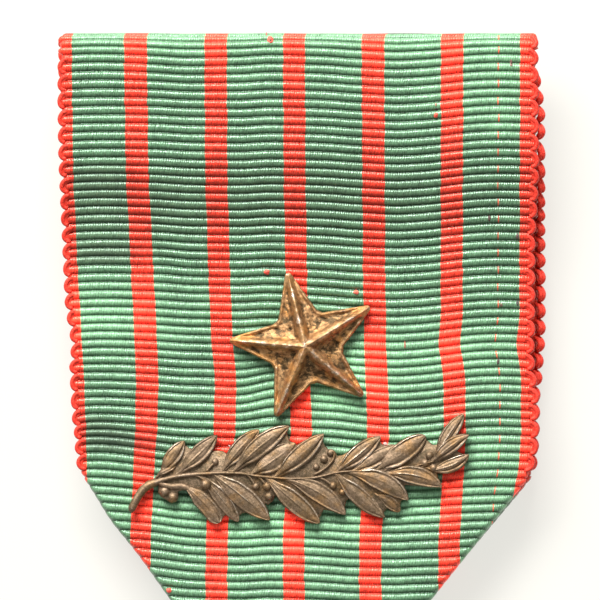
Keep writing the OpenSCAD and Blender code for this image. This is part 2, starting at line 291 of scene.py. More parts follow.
def add_light(name, place, target, size, power):
    data = bpy.data.lights.new(name, "AREA")
    data.shape = "RECTANGLE"
    data.size, data.size_y = size
    data.energy = power
    light = bpy.data.objects.new(name, data)
    bpy.context.scene.collection.objects.link(light)
    light.location = place
    light.rotation_euler = (Vector(target) - Vector(place)).to_track_quat("-Z", "Y").to_euler()


def floor_material():
    s = Shader("floor_paper")
    s.set("Base Color", FLOOR_COLOUR)
    s.set("Roughness", 0.9)
    s.set("Specular IOR Level", 0.1)
    s.set("Emission Color", (1, 0.99, 0.93, 1))
    s.set("Emission Strength", FLOOR_GLOW)
    return s.material


def add_studio():
    """A near-white floor, a soft light above the medal's top, and pale light from all round."""
    scene = bpy.context.scene
    world = bpy.data.worlds.new("studio")
    scene.world = world
    world.use_nodes = True
    sky = world.node_tree.nodes["Background"]
    sky.inputs["Color"].default_value = (1, 1, 1, 1)
    sky.inputs["Strength"].default_value = SKY_STRENGTH
    add_light("key", KEY_PLACE, KEY_TARGET, KEY_SIZE, KEY_POWER)

    mesh = bpy.data.meshes.new("floor")
    corners = [(a * FLOOR_HALF, b * FLOOR_HALF, 0) for a, b in ((-1, -1), (1, -1), (1, 1), (-1, 1))]
    mesh.from_pydata(corners, [], [(0, 1, 2, 3)])
    mesh.materials.append(floor_material())
    floor = bpy.data.objects.new("floor", mesh)
    scene.collection.objects.link(floor)
    scene.view_settings.view_transform = "Standard"
    scene.view_settings.look = "None"


# Materials


class Shader:
    """A material's node tree, with short calls for the nodes that the finishes use."""

    def __init__(self, name):
        self.material = bpy.data.materials.new(name)
        self.material.use_nodes = True
        self.nodes = self.material.node_tree.nodes
        self.links = self.material.node_tree.links
        self.surface = self.nodes["Principled BSDF"]

    def feed(self, socket, value):
        if isinstance(value, bpy.types.NodeSocket):
            self.links.new(value, socket)
        else:
            socket.default_value = value

    def set(self, name, value):
        self.feed(self.surface.inputs[name], value)

    def node(self, kind, values, **settings):
        """A node with the given settings, fed with values in the order of its sockets, or by their names."""
        node = self.nodes.new("ShaderNode" + kind)
        for name, value in settings.items():
            setattr(node, name, value)
        for key, value in values.items() if isinstance(values, dict) else enumerate(values):
            self.feed(node.inputs[key], value)
        return node

    def math(self, operation, *values):
        return self.node("Math", values, operation=operation).outputs[0]

    def times(self, first, second):
        return self.math("MULTIPLY", first, second)

    def sum(self, *terms):
        total = terms[0]
        for term in terms[1:]:
            total = self.math("ADD", total, term)
        return total

    def apart(self, first, second):
        return self.math("ABSOLUTE", self.math("SUBTRACT", first, second))

    def sway(self, value, amount):
        """A noise of about 0.5 turned into one about 0, with a given strength."""
        return self.times(self.math("SUBTRACT", value, 0.5), amount)

    def remap(self, value, low, high, to_low=0.0, to_high=1.0):
        values = (value, low, high, to_low, to_high)
        return self.node("MapRange", values, interpolation_type="SMOOTHSTEP").outputs[0]

    def mix(self, share, first, second, blend="MIX"):
        values = {0: share, 6: first, 7: second}
        return self.node("Mix", values, data_type="RGBA", blend_type=blend).outputs[2]

    def ramp(self, value, *stops):
        node = self.node("ValToRGB", [value])
        elements = node.color_ramp.elements
        while len(elements) < len(stops):
            elements.new(0.5)
        for element, (place, colour) in zip(elements, stops):
            element.position = place
            element.color = (*colour, 1)
        return node.outputs[0]

    def attribute(self, name, output="Fac"):
        return self.node("Attribute", [], attribute_name=name).outputs[output]

    def split(self, vector):
        return self.node("SeparateXYZ", [vector]).outputs

    def join(self, x, y, z=0.0):
        return self.node("CombineXYZ", (x, y, z)).outputs[0]

    def brighten(self, colour, level):
        return self.mix(1.0, colour, self.join(level, level, level), "MULTIPLY")

    def place(self):
        """The place in the row frame, in millimetres."""
        place = self.node("TexCoord", []).outputs["Object"]
        return self.node("VectorMath", {0: place, "Scale": 1 / MM}, operation="SCALE").outputs[0]

    def noise(self, vector, scale, detail=2.0, roughness=0.5):
        values = {"Vector": vector, "Scale": scale, "Detail": detail, "Roughness": roughness}
        return self.node("TexNoise", values).outputs[0]

    def bump(self, height, distance):
        self.set("Normal", self.node("Bump", {"Height": height, "Distance": distance}).outputs[0])


# The red stripes in the green: middle and half width across the ribbon, in millimetres
STRIPES = [
    (-18.9, 1.38),
    (x_of(135.5), 0.87),
    (x_of(215.6), 0.85),
    (x_of(293.8), 0.83),
    (x_of(372.6), 0.86),
    (x_of(451.6), 0.85),
    (18.6, 1.54),
]
STRIPE_BLUR = 0.03
EDGE_WANDER, EDGE_FRAY = 0.22, 0.10
# A single red thread in the last green stripe, on every second rib
RED_THREAD_X = x_of(498)
THREADS_PER_MM = 5.5
# The silk's colours, from a rib's groove to its crest, darker towards the groove as painted shade. The olive
# is the green where patches of painted shade darken the cloth.
GREEN = [(0.0, (0.009, 0.027, 0.011)), (0.45, (0.036, 0.083, 0.039)), (1.0, (0.075, 0.157, 0.081))]
SHADE_OLIVE = [(0.0, (0.010, 0.023, 0.009)), (0.45, (0.044, 0.082, 0.038)), (1.0, (0.092, 0.152, 0.080))]
CRIMSON = [(0.0, (0.24, 0.010, 0.005)), (0.4, (0.50, 0.020, 0.010)), (1.0, (0.62, 0.036, 0.018))]
# The cord's colours, from its darkest fibres to its lightest
CORD = [(0.25, (0.36, 0.014, 0.009)), (0.5, (0.62, 0.030, 0.017)), (0.8, (0.76, 0.09, 0.055))]


def silk_red(s, across, ribs, rib_number, rib_seed, height):
    """How red the silk is: seven stripes with frayed edges, and the red thread."""
    wander = s.sway(s.noise(s.join(rib_seed, 0.5), 1.0), EDGE_WANDER)
    fray = s.sway(s.noise(s.join(across, ribs), 9.0), EDGE_FRAY)
    placed = s.sum(across, wander, fray)
    red = 0.0
    for middle, half in STRIPES:
        away = s.apart(placed, middle)
        red = s.math("MAXIMUM", red, s.remap(away, half + STRIPE_BLUR, half - STRIPE_BLUR))
    odd = s.math("LESS_THAN", s.math("FRACT", s.times(s.sum(rib_number, 1.25), 0.5)), 0.5)
    thread = s.times(s.remap(s.apart(s.sum(across, wander), RED_THREAD_X), 0.065, 0.03), odd)
    thread = s.times(thread, s.remap(height, 0.15, 0.4, 0.0, 0.7))
    return s.math("MAXIMUM", red, thread)


def silk_material():
    """Ribbed silk: green with red stripes and fine warp threads, lighter on the crests and darker in the
    grooves as painted shade, with patches of painted light and shade.
    """
    s = Shader("ribbon_silk")
    across, ribs, height = s.split(s.attribute("strip", "Vector"))
    painted_light = s.attribute("painted_light")
    rib_number = s.math("FLOOR", ribs)
    rib_seed = s.times(rib_number, 13.7)
    red = silk_red(s, across, ribs, rib_number, rib_seed, height)

    wander = s.noise(s.join(s.times(across, 2.0), rib_seed), 1.0, 2.0, 0.5)
    turns = s.sum(s.times(across, THREADS_PER_MM), s.times(ribs, 0.5), s.times(wander, 1.6))
    weave = s.times(s.sum(s.math("SINE", s.times(turns, 2 * math.pi)), 1.0), 0.5)
    slant = s.sum(s.times(across, 12.0), s.times(ribs, 0.9))
    threads = s.noise(s.join(slant, rib_seed, s.times(ribs, 1.6)), 1.0, 2.0, 0.6)
    fine = s.noise(s.join(across, s.times(ribs, 0.65), 3.0), 7.5, 3.0, 0.7)
    sheen = s.noise(s.join(s.times(across, 1.3), s.times(rib_number, 5.1), 9.0), 1.0, 3.0, 0.6)
    patches = s.noise(s.join(s.times(across, 0.55), s.times(ribs, 0.25)), 1.0, 3.0, 0.6)
    lint = s.noise(s.join(across, ribs, 7.0), 6.0, 4.0, 0.75)

    # The painted light and shade from the patches: above nought it lightens the cloth, and below nought it
    # darkens it towards the olive.
    light = s.remap(painted_light, 0.0, 0.8)
    dim = s.remap(painted_light, -0.05, -0.45)
    # The ramps darken towards the groove: painted shade in the grooves.
    green, shade_olive, crimson = (s.ramp(height, *stops) for stops in (GREEN, SHADE_OLIVE, CRIMSON))
    colour = s.mix(red, s.mix(dim, green, shade_olive), crimson)
    shade = s.sum(1.0, s.sway(weave, 0.30), s.sway(threads, 1.1), s.sway(fine, 2.4), s.sway(patches, 0.9))
    colour = s.brighten(colour, s.times(s.math("MAXIMUM", shade, 0.15), s.sum(painted_light, 1.0)))
    dust = s.remap(lint, 0.56, 0.74, 0.0, 0.40)
    s.set("Base Color", s.mix(dust, colour, (0.26, 0.19, 0.10, 1)))
    dull = s.sum(s.times(light, 0.14), s.times(dim, 0.16))
    s.set("Roughness", s.sum(s.remap(sheen, 0.30, 0.70, 0.15, 0.32), dull))
    s.set("Specular IOR Level", 0.92)
    s.set("Specular Tint", s.mix(red, (0.72, 1.0, 0.78, 1), (1.0, 0.46, 0.36, 1)))
    s.bump(s.sum(s.times(weave, 0.55), s.times(threads, 0.9), s.times(fine, 0.5)), 0.000028)
    return s.material


def cord_material():
    """The red loops along the ribbon's edges."""
    s = Shader("ribbon_red_cord")
    fibres = s.noise(s.place(), 7.0, 3.0, 0.7)
    # The back layer's right loops are painted lighter: painted light where the front layer shades them.
    loop_painted_light = s.sum(s.times(s.attribute("loop_painted_light"), 0.3), 1.0)
    s.set("Base Color", s.brighten(s.ramp(fibres, *CORD), loop_painted_light))
    s.set("Roughness", 0.42)
    s.set("Specular Tint", (1.0, 0.5, 0.4, 1))
    s.bump(fibres, 0.00008)
    return s.material


def speck_material():
    s = Shader("ribbon_specks")
    fibres = s.noise(s.place(), 9.0, 3.0, 0.7)
    s.set("Base Color", s.brighten(s.attribute("paint", "Vector"), s.remap(fibres, 0.25, 0.75, 0.7, 1.3)))
    s.set("Roughness", 0.6)
    s.bump(fibres, 0.00004)
    return s.material


# The colours and finish of the ring's and cross's bronze, which the star and palm change
BRONZE = {
    "dark": (0.13, 0.085, 0.05),
    "middle": (0.26, 0.170, 0.10),
    "bright": (0.60, 0.43, 0.26),
    "recess_patina_and_shade": (0.10, 0.09, 0.065),
    "roughness": (0.34, 0.6),
    "grain_depth": 0.00003,
    "mottle": 0.5,
    "spots_per_mm": 6.0,
}
STAR_BRONZE = {
    "dark": (0.18, 0.086, 0.034),
    "middle": (0.51, 0.30, 0.135),
    "bright": (0.72, 0.61, 0.49),
    "recess_patina_and_shade": (0.060, 0.044, 0.022),
    "roughness": (0.20, 0.5),
    "grain_depth": 0.00006,
    "mottle": 0.3,
    "spots_per_mm": 3.0,
}
PALM_BRONZE = BRONZE | {
    "dark": (0.125, 0.083, 0.042),
    "middle": (0.235, 0.162, 0.104),
    "bright": (0.60, 0.50, 0.39),
    "recess_patina_and_shade": (0.078, 0.064, 0.036),
    "roughness": (0.28, 0.55),
}


def bronze_material(name, dark, middle, bright, recess_patina_and_shade, roughness, grain_depth, mottle, spots_per_mm):
    """Patinated cast bronze: worn bright where the piece says wear, dull and greenish in its hollows, which
    is patina and painted shade.
    """
    s = Shader(name)
    place = s.place()
    cloudy = s.noise(place, 0.9, 4.0, 0.6)
    speckle = s.noise(place, spots_per_mm, 5.0, 0.7)
    fine = s.noise(place, 22.0, 3.0, 0.65)
    stain = s.noise(place, 0.57, 4.0, 0.65)
    mixed = s.sum(s.times(cloudy, 0.5), s.times(speckle, 0.35), s.times(fine, 0.15))
    ochre = (middle[0] * 1.15, middle[1] * 0.88, middle[2] * 0.45, 1)
    body = s.ramp(mixed, (0.38, dark), (0.60, middle))
    body = s.mix(s.remap(stain, 0.48, 0.66, 0.0, 0.55), body, ochre)
    wear = s.sum(s.attribute("wear"), s.sway(speckle, mottle), s.sway(fine, mottle))
    low, high = s.remap(wear, 0.2, 0.0), s.remap(wear, 0.52, 1.0)
    # Low wear brings in the recess colour: patina in the hollows, and painted shade there.
    colour = s.mix(s.times(low, 0.85), body, (*recess_patina_and_shade, 1))
    colour = s.mix(high, colour, (*bright, 1))
    level = s.times(s.remap(fine, 0.25, 0.75, 0.75, 1.25), s.remap(speckle, 0.30, 0.70, 0.75, 1.25))
    s.set("Base Color", s.brighten(colour, level))
    s.set("Metallic", 0.85)
    s.set("Roughness", s.remap(s.sum(high, s.times(fine, 0.4)), 0.1, 1.2, roughness[1], roughness[0]))
    s.bump(s.sum(s.times(speckle, 0.7), s.times(fine, 0.6)), grain_depth)
    return s.material


def steel_material():
    s = Shader("pin_steel")
    fine = s.noise(s.place(), 9.0, 4.0, 0.6)
    s.set("Base Color", s.ramp(fine, (0.3, (0.30, 0.29, 0.27)), (0.7, (0.55, 0.54, 0.51))))
    s.set("Metallic", 1.0)
    s.set("Roughness", s.remap(fine, 0.2, 0.8, 0.3, 0.5))
    s.bump(fine, 0.00001)
    return s.material


# Ribbon

CLOTH_T = 0.95
FOLD_R = 0.8
FOLD_DROP = 1.3
BACK_SHIFT = 0.4
CORNER_DROP = 34.3
RING_HALF_W = 4.5
RING_GAP = 0.2
HALF_WALL = 0.5
BEND_R = WIRE_R + RING_GAP + HALF_WALL
WRAP_R = RING_R - WIRE_R - RING_GAP
RING_ARCH = WRAP_R - math.sqrt(WRAP_R**2 - RING_HALF_W**2)
END_DROP = RING_DROP + RING_ARCH
FRONT_LOW, BACK_LOW = RING_Z + BEND_R, RING_Z - BEND_R
FRONT_HIGH, BACK_HIGH = FOLD_TOP - HALF_WALL, FOLD_TOP - HALF_WALL - 2 * FOLD_R
FOLD_STEPS, PATH_STEPS, BEND_STEPS = 12, 500, 30

# How much of its height at the top each layer still has, down the ribbon
front_rise = curve(
    [(0, 1), (6.5, 1), (8, 0.97), (10, 0.87), (12, 0.6), (14, 0.3), (16, 0.07), (18, 0), (60, 0)]
)
back_rise = curve([(0, 1), (8, 1), (10, 0.8), (12, 0.44), (14, 0.15), (16, 0.02), (18, 0), (60, 0)])
# How far each edge stands in from the full width, down the ribbon, to where the corners fold in
left_in = curve(
    [(0, 0.05), (4.5, 0.03), (9, 0.08), (14, 0.25), (18.6, 0.44), (20.5, 0.52), (22, 0.7), (23.2, 0.92),
     (24.5, 1.0), (25.8, 0.9), (27.1, 0.96), (29.7, 1.1), (31, 1.27), (32.4, 1.35), (33.6, 1.52),
     (CORNER_DROP, 1.85)]
)
right_in = curve(
    [(0, 0.05), (4.5, 0), (8, -0.02), (13.4, -0.08), (20, -0.13), (23.2, -0.12), (24.5, -0.03), (25.8, 0.07),
     (27.1, 0.16), (28.4, 0.31), (29.7, 0.31), (31, 0.35), (32.4, 0.44), (CORNER_DROP, 0.62)]
)
# How far the front layer's right edge stands out over the back layer's usual step behind it
front_out = curve(
    [(0, 0), (10, 0), (13, -0.12), (16, -0.32), (23.5, -0.36), (26, -0.15), (27.2, 0.12), (28.4, 0.40),
     (32.5, 0.40), (33.4, 0.25), (CORNER_DROP, 0), (60, 0)]
)
# Below the corners each edge runs in at a slope, from this far in from the full width
LEFT_SLOPE, RIGHT_SLOPE = 0.71, 0.80
LEFT_CORNER_IN, RIGHT_CORNER_IN = 1.80, 0.62
# The left fold bulges out a little: at which drop, by how much, and over which half length
BULGE_DROP, BULGE, BULGE_HALF = 37.7, 0.24, 1.8
arch_share = curve([(0, 0), (43.5, 0), (46, 0.2), (48, 0.45), (50, 0.8), (END_DROP, 1), (60, 1)])

RIB_PITCH = px(8.45)
RIB_DEPTH = 0.23
FRONT_SAMPLES = (0.0, 0.09, 0.26, 0.5, 0.74, 0.91)
BACK_SAMPLES = (0.0, 0.14, 0.5, 0.86)
COLUMNS = 84
CURL_STEPS = 5
INNER_COLUMNS = 6
WAVE_DEPTH, UNEVEN = 0.06, 0.03
# How far in from its edge the cloth ends where the cords are, left and right, and how much further out
# every second rib of the front layer comes
LEFT_END_IN, RIGHT_END_IN, RIB_END_OUT = 0.20, 0.32, 0.17
# How deep the cloth's edge curls where the corners are folded in, and how much painted light brightens the
# right curl, which lies in shade
FOLD_DEPTH, FOLD_PAINTED_LIGHT = 0.93, 2.0


def arc(drop, z, radius, angles):
    """Places in drop and z at angles in degrees round a centre, from straight up towards the ring."""
    return [(drop + radius * math.sin(a), z + radius * math.cos(a)) for a in np.radians(angles)]


def ribbon_path():
    """The cloth's middle line in drop and z: over the top, down the front, round the ring, up the back."""
    quarter = np.linspace(90, 0, FOLD_STEPS)[:-1]
    fold_z = (FRONT_HIGH + BACK_HIGH) / 2
    drops = np.linspace(FOLD_DROP, END_DROP, PATH_STEPS)
    front = [(d, FRONT_LOW + (FRONT_HIGH - FRONT_LOW) * front_rise(d)) for d in drops]
    back = [(d, BACK_LOW + (BACK_HIGH - BACK_LOW) * back_rise(d)) for d in drops[::-1]]
    bend = arc(END_DROP, RING_Z, BEND_R, np.linspace(0, 180, BEND_STEPS)[1:-1])
    top = arc(FOLD_DROP, fold_z, FOLD_R, -quarter)
    under = arc(FOLD_DROP, fold_z, FOLD_R, 180 + quarter[::-1])
    return np.array(top + front + bend + back + under, float)


class Loop:
    """The ribbon's outer face as a closed path: place and outward direction at a distance along it.

    The distance starts at the top fold's outermost line, and the front layer ends at front_end.
    """

    def __init__(self):
        middle = ribbon_path()
        run = unit(np.roll(middle, -1, 0) - np.roll(middle, 1, 0))
        out = left_of(run)
        outer = middle + out * HALF_WALL
        self.outer = np.vstack([outer, outer[:1]])
        self.out = np.vstack([out, out[:1]])
        self.at = distances(self.outer)
        self.length = self.at[-1]
        self.front_end = self.at[FOLD_STEPS + PATH_STEPS - 2]

    def look_up(self, s, table):
        s = np.mod(s, self.length)
        return np.interp(s, self.at, table[:, 0]), np.interp(s, self.at, table[:, 1])

    def place(self, s):
        return self.look_up(s, self.outer)

    def outward(self, s):
        a, b = self.look_up(s, self.out)
        size = np.hypot(a, b)
        return a / size, b / size


def left_edge(drop):
    straight = -RIBBON_W / 2 + left_in(drop)
    folded = -RIBBON_W / 2 + LEFT_CORNER_IN + (drop - CORNER_DROP) * LEFT_SLOPE
    folded = folded - BULGE * np.exp(-(((drop - BULGE_DROP) / BULGE_HALF) ** 2))
    return np.minimum(np.where(drop > CORNER_DROP, folded, straight), -RING_HALF_W)


def right_edge(drop):
    straight = RIBBON_W / 2 - right_in(drop)
    folded = RIBBON_W / 2 - RIGHT_CORNER_IN - (drop - CORNER_DROP) * RIGHT_SLOPE
    return np.maximum(np.where(drop > CORNER_DROP, folded, straight), RING_HALF_W)


# How far the ribs lie down from their even places, in pixels of the photograph: places across, and
# for each of them (place down, pixels down)
RIB_BOW_X = np.array([59, 100, 170, 255, 335, 415, 480, 538.0])
RIB_BOW = [
    [(20, 0), (56, 0), (117, 1.5), (200, 0.5), (284, 0), (366, -2), (424, -3.5), (447, -5), (480, -5),
     (600, 0)],
    [(20, -1), (56, -1), (117, 0.6), (200, -0.9), (284, -1.4), (366, -3.9), (424, -5), (447, -6.5),
     (500, -3), (600, 2)],
    [(20, 1), (56, 1.8), (117, 1.6), (200, 1.1), (284, 0.6), (366, -0.9), (424, 0), (447, 1), (525, 2),
     (600, 2)],
    [(20, 0.5), (56, 0.8), (117, 2.6), (200, 2.1), (284, 1.6), (366, 0.1), (424, 1), (447, 2), (525, 3),
     (600, 2.5)],
    [(20, 1), (56, 1.8), (117, 3.6), (200, 3.1), (284, 4.6), (366, 4.5), (424, 4.4), (525, 4.1), (600, 4.5)],
    [(20, 4), (56, 4.8), (117, 6.6), (200, 6.1), (284, 6.6), (366, 7.1), (424, 6), (447, 5.8), (525, 5),
     (600, 5.5)],
    [(20, -0.2), (56, -0.2), (117, 0.6), (200, 0.1), (284, 0.6), (366, 0.1), (424, 0), (447, 1.1),
     (525, 3), (600, 5)],
    [(20, 0), (56, 0.5), (117, 1), (200, 0.5), (284, 1), (366, 1), (424, 1), (447, 2), (525, 3), (600, 5)],
]
rib_bows = [curve(knots) for knots in RIB_BOW]
# The ribs' dips within each stripe, and their drift down the cloth
rib_wave = curve(
    [(59, 0.3), (85, -0.1), (112, -0.3), (155, -0.6), (175, 0.2), (190, 0.8), (240, 0.9), (255, 0),
     (270, -0.9), (320, -0.3), (335, 0.2), (350, 0.9), (395, 0.9), (415, 0), (430, -0.2), (470, -0.2),
     (505, -0.6), (538, -0.3)]
)
rib_trend = curve(
    [(40, -0.5), (60, -0.6), (100, -0.8), (140, -0.1), (180, 0.8), (220, 1.0), (260, 0.5), (300, 0.9),
     (340, 1.0), (420, 0.9), (450, 0.2), (500, -0.3), (540, 0.2), (580, 0.6), (610, 0.6)]
)
# Soft bends of the ribs round the ornaments and the left fold: middle, half sizes and shift, in pixels
RIB_PATCHES = [
    (284, 388, 26, 34, -5.5),
    (340, 395, 34, 32, -2.2),
    (335, 425, 28, 38, -1.6),
    (235, 390, 22, 70, 1.5),
    (105, 545, 75, 65, -7.5),
    (112, 540, 24, 20, 1.6),
    (235, 500, 60, 25, -1.8),
    (295, 540, 38, 42, -1.2),
    (475, 540, 22, 26, -1.2),
    (165, 260, 18, 26, -1.1),
    (66, 378, 16, 16, -2.2),
    (66, 420, 16, 16, 2.2),
]
# The pixel row where the distance along the loop starts, and how far down all the ribs lie
RIB_START_PX = 23.4
RIB_DOWN_PX = 2.6


def rib_shift(x, s):
    """How far a rib lies down from its even place, in millimetres, at a distance s along the loop."""
    across = np.clip(across_px(x), RIB_BOW_X[0], RIB_BOW_X[-1])
    down = s * PX_PER_MM + RIB_START_PX
    bows = [bow(down) for bow in rib_bows]
    steps = np.diff(RIB_BOW_X)
    slopes = [(b - a) / step for a, b, step in zip(bows, bows[1:], steps)]
    at = [slopes[0]] + [(a + b) / 2 for a, b in zip(slopes, slopes[1:])] + [slopes[-1]]
    shift = 0 * down
    for i, step in enumerate(steps):
        t = (across - RIB_BOW_X[i]) / step
        found = between(t, step, bows[i], bows[i + 1], at[i], at[i + 1])
        shift = np.where((t >= 0) & (t <= 1), found, shift)
    shift = shift + patch_sum(RIB_PATCHES, across, down) + rib_wave(across) + rib_trend(down)
    in_front = smooth(s, -5, 0) * (1 - smooth(s, 44, 50))
    return px(shift + RIB_DOWN_PX) * in_front


def even_noise(x, y, seed):
    """Smooth noise from -1 to 1 at arrays of places."""
    flat = [noise.noise((float(a), float(b), seed)) for a, b in zip(np.ravel(x), np.ravel(y))]
    return np.reshape(flat, np.shape(x))


# Soft patches of painted light and shade on the cloth: lighter where the star and palm cast their shadows,
# and lighter or darker where the cloth's low waves turn towards or away from the lamp. Across and down in
# pixels, their half sizes, and how much light is painted
PAINTED_LIGHT_PATCHES = [
    (300, 195, 330, 60, -0.25),
    (100, 256, 30, 16, -0.35),
    (110, 125, 80, 30, 0.12),
    (300, 394, 62, 28, 0.65),
    (340, 374, 30, 36, 1.35),
    (275, 517, 130, 12, 1.30),
    (425, 489, 24, 12, 0.60),
    (245, 359, 26, 12, 0.25),
    (112, 440, 55, 9, -0.22),
    (98, 178, 28, 12, -0.26),
    (120, 256, 75, 9, -0.20),
    (285, 50, 80, 16, -0.35),
    (492, 85, 40, 60, 0.14),
    (490, 350, 45, 90, 0.10),
    (300, 480, 420, 100, 0.10),
    (210, 463, 40, 12, 0.35),
    (450, 463, 45, 14, 0.25),
    (294, 437, 60, 16, 0.2),
    (300, 463, 220, 14, 0.25),
    (294, 541, 75, 18, 0.35),
    (110, 215, 80, 40, -0.14),
    (300, 38, 330, 14, 0.35),
    (100, 315, 70, 42, 0.95),
    (420, 360, 130, 60, 0.34),
    (90, 424, 42, 16, -0.50),
    (240, 300, 90, 30, 0.15),
    (300, 570, 200, 50, 0.25),
    (110, 480, 40, 20, 0.5),
    (300, 45, 420, 22, 0.65),
    (480, 85, 75, 45, 0.50),
    (505, 118, 30, 20, 0.40),
    (300, 78, 90, 16, 0.20),
    (70, 325, 60, 16, 0.40),
    (180, 325, 130, 20, 0.20),
    (440, 355, 110, 28, 0.55),
    (358, 350, 35, 18, 0.50),
    (330, 385, 40, 16, 1.20),
    (300, 410, 300, 22, 0.18),
    (430, 445, 140, 20, 0.50),
    (130, 445, 55, 12, -0.45),
    (490, 485, 60, 30, 0.55),
    (180, 505, 60, 12, 0.80),
    (390, 505, 55, 12, 1.40),
    (270, 532, 75, 12, 1.00),
    (300, 575, 220, 35, 0.32),
    (445, 590, 30, 20, -0.40),
]


# Painted light and shade on the cloth at a place, from the patches.
def cloth_painted_light(x, drop):
    return patch_sum(PAINTED_LIGHT_PATCHES, across_px(x), down_px(drop))


# How the stripes wander sideways down the ribbon, in pixels of the photograph: for each of seven places
# across, (place down, pixels across)
STRIPE_DRIFT = {
    59: [(40, 0), (180, 2), (260, 5), (380, 12), (420, 14), (460, 16), (478, 16.5), (520, 17), (700, 8)],
    135.5: [(40, 0), (180, 2.5), (260, 6.5), (380, 11.5), (420, 10.5), (460, 8.5), (500, 6.5), (540, 4.5),
            (700, 2)],
    215.6: [(40, 0), (180, 1), (260, 3), (340, 6.5), (380, 9.8), (420, 9), (460, 5), (500, 2.5), (540, 1.5),
            (590, 0.4), (700, 0)],
    293.8: [(40, 0), (180, 1), (260, 2.2), (380, 5), (420, 7.2), (460, 5), (500, 2.5), (540, 0.2), (700, 0)],
    372.6: [(40, 0), (180, 1), (260, 1.5), (380, 4), (420, 5.4), (460, 3), (500, 0), (540, -2), (590, -2.6),
            (700, -2)],
    451.6: [(40, 0), (310, 0), (344, -2.2), (362, 0.5), (380, 2.5), (420, 3), (460, 2.5), (500, 0.5),
            (560, -2), (700, -2)],
    538: [(40, 0), (315, 0), (346, -2.8), (366, 0), (380, 1), (420, 1), (450, 0), (470, -2), (485, -5.5),
          (500, -8.5), (700, -10)],
}


def warp_place(x, drop):
    """Where across the flat ribbon the points of one column of the cloth come from."""
    flat = np.array([x_of(a) for a in STRIPE_DRIFT])
    drift = np.array([px(curve(knots)(down_px(drop))) for knots in STRIPE_DRIFT.values()])
    moved = flat[:, None] + drift
    beyond = 10
    moved = np.vstack([moved[:1] - beyond, moved, moved[-1:] + beyond])
    flat = np.concatenate([flat[:1] - beyond, flat, flat[-1:] + beyond])
    source = np.zeros(len(x))
    for i in range(len(flat) - 1):
        share = (x - moved[i]) / (moved[i + 1] - moved[i])
        source = np.where((share >= 0) & (share < 1), flat[i] + share * (flat[i + 1] - flat[i]), source)
    return source


def rib_height(phase):
    """Height of a rib's round top, from 0 in the groove to 1 at its crest."""
    return (1 - np.abs(2 * np.mod(phase, 1.0) - 1) ** 2.1) ** 0.72


def ribbon_rows(loop):
    """The rows of points round the loop: distance along it from the fold's top, and rib phase."""
    half = RIB_PITCH / 2
    front_ribs = round(loop.front_end / RIB_PITCH)
    rows = [((r + f) * RIB_PITCH - half, r + f) for r in range(front_ribs) for f in FRONT_SAMPLES]
    start = front_ribs * RIB_PITCH - half
    left = loop.length - half - start
    rest = round(left / RIB_PITCH / 2) * 2 + front_ribs % 2
    rows += [(start + (r + f) * left / rest, front_ribs + r + f) for r in range(rest) for f in BACK_SAMPLES]
    return np.array(rows).T


def from_top(loop, s):
    """Distance from the fold's top, negative up the back."""
    return np.where(s > loop.length * 0.6, s - loop.length, s)


def fold_share(drop):
    """0 above the folded corners and 1 below them."""
    return smooth(drop, CORNER_DROP - 0.6, CORNER_DROP + 1.2)


def cloth_points(loop, s, phase, x, inward, spread):
    """Points of the cloth at distances s along the loop, x across, and inward of the outer face.

    spread is the direction of the cloth's own surface there: across, and out of the loop.
    """
    shifted = s + rib_shift(x, from_top(loop, s))
    drop, z = loop.place(shifted)
    out_drop, out_z = loop.outward(shifted)
    half = np.maximum(-left_edge(drop), right_edge(drop))
    arch = arch_share(drop) * RING_ARCH * (1 - np.clip(x / half, -1, 1) ** 2)
    height = rib_height(phase)
    groove = RIB_DEPTH * (1 - height)
    # Low slanting waves in the front layer, away from its two ends
    on_front = smooth(z, RING_Z, RING_Z + 1.0)
    waves = WAVE_DEPTH * smooth(drop, 8, 14) * (1 - smooth(drop, 44, 48)) * on_front
    waves = waves * (1 + np.sin(np.radians(9 * x - 12 * drop)))
    uneven = 0.02 + UNEVEN * even_noise(x * 0.35, phase * 0.8, 3.0) * height
    depth = inward + waves + groove * spread[1] + uneven * (spread[1] > 0.5)
    side = x - np.sign(x) * groove * np.abs(spread[0]) * (1 - 0.8 * fold_share(drop))
    points = np.stack([side, drop - arch - out_drop * depth, z - out_z * depth], -1)
    return points, height


def cloth_edges(loop, s, phase, back_shift):
    """Where each row of the cloth ends to the left and right, over the ring of points round its section."""
    drop = loop.place(s)[0]
    front = np.where(s < loop.front_end, 1.0, 0.0)
    ends = []
    for edge in (left_edge, right_edge):
        x = edge(drop)
        for _ in range(3):
            x = edge(loop.place(s + rib_shift(x, from_top(loop, s)))[0])
        ends.append(x)
    picot_in = 1 - smooth(drop, CORNER_DROP - 0.8, CORNER_DROP + 0.2)
    odd_rib = 0.5 - 0.5 * np.sin(math.pi * phase)
    top_out = 0.14 * (1 - smooth(drop, 1.2, 2.0))
    left = ends[0] + back_shift + picot_in * (LEFT_END_IN - RIB_END_OUT * odd_rib * front - top_out)
    right = ends[1] + back_shift - picot_in * (RIGHT_END_IN - RIB_END_OUT * (1 - odd_rib) * front)
    return left, right + front_out(drop) * front


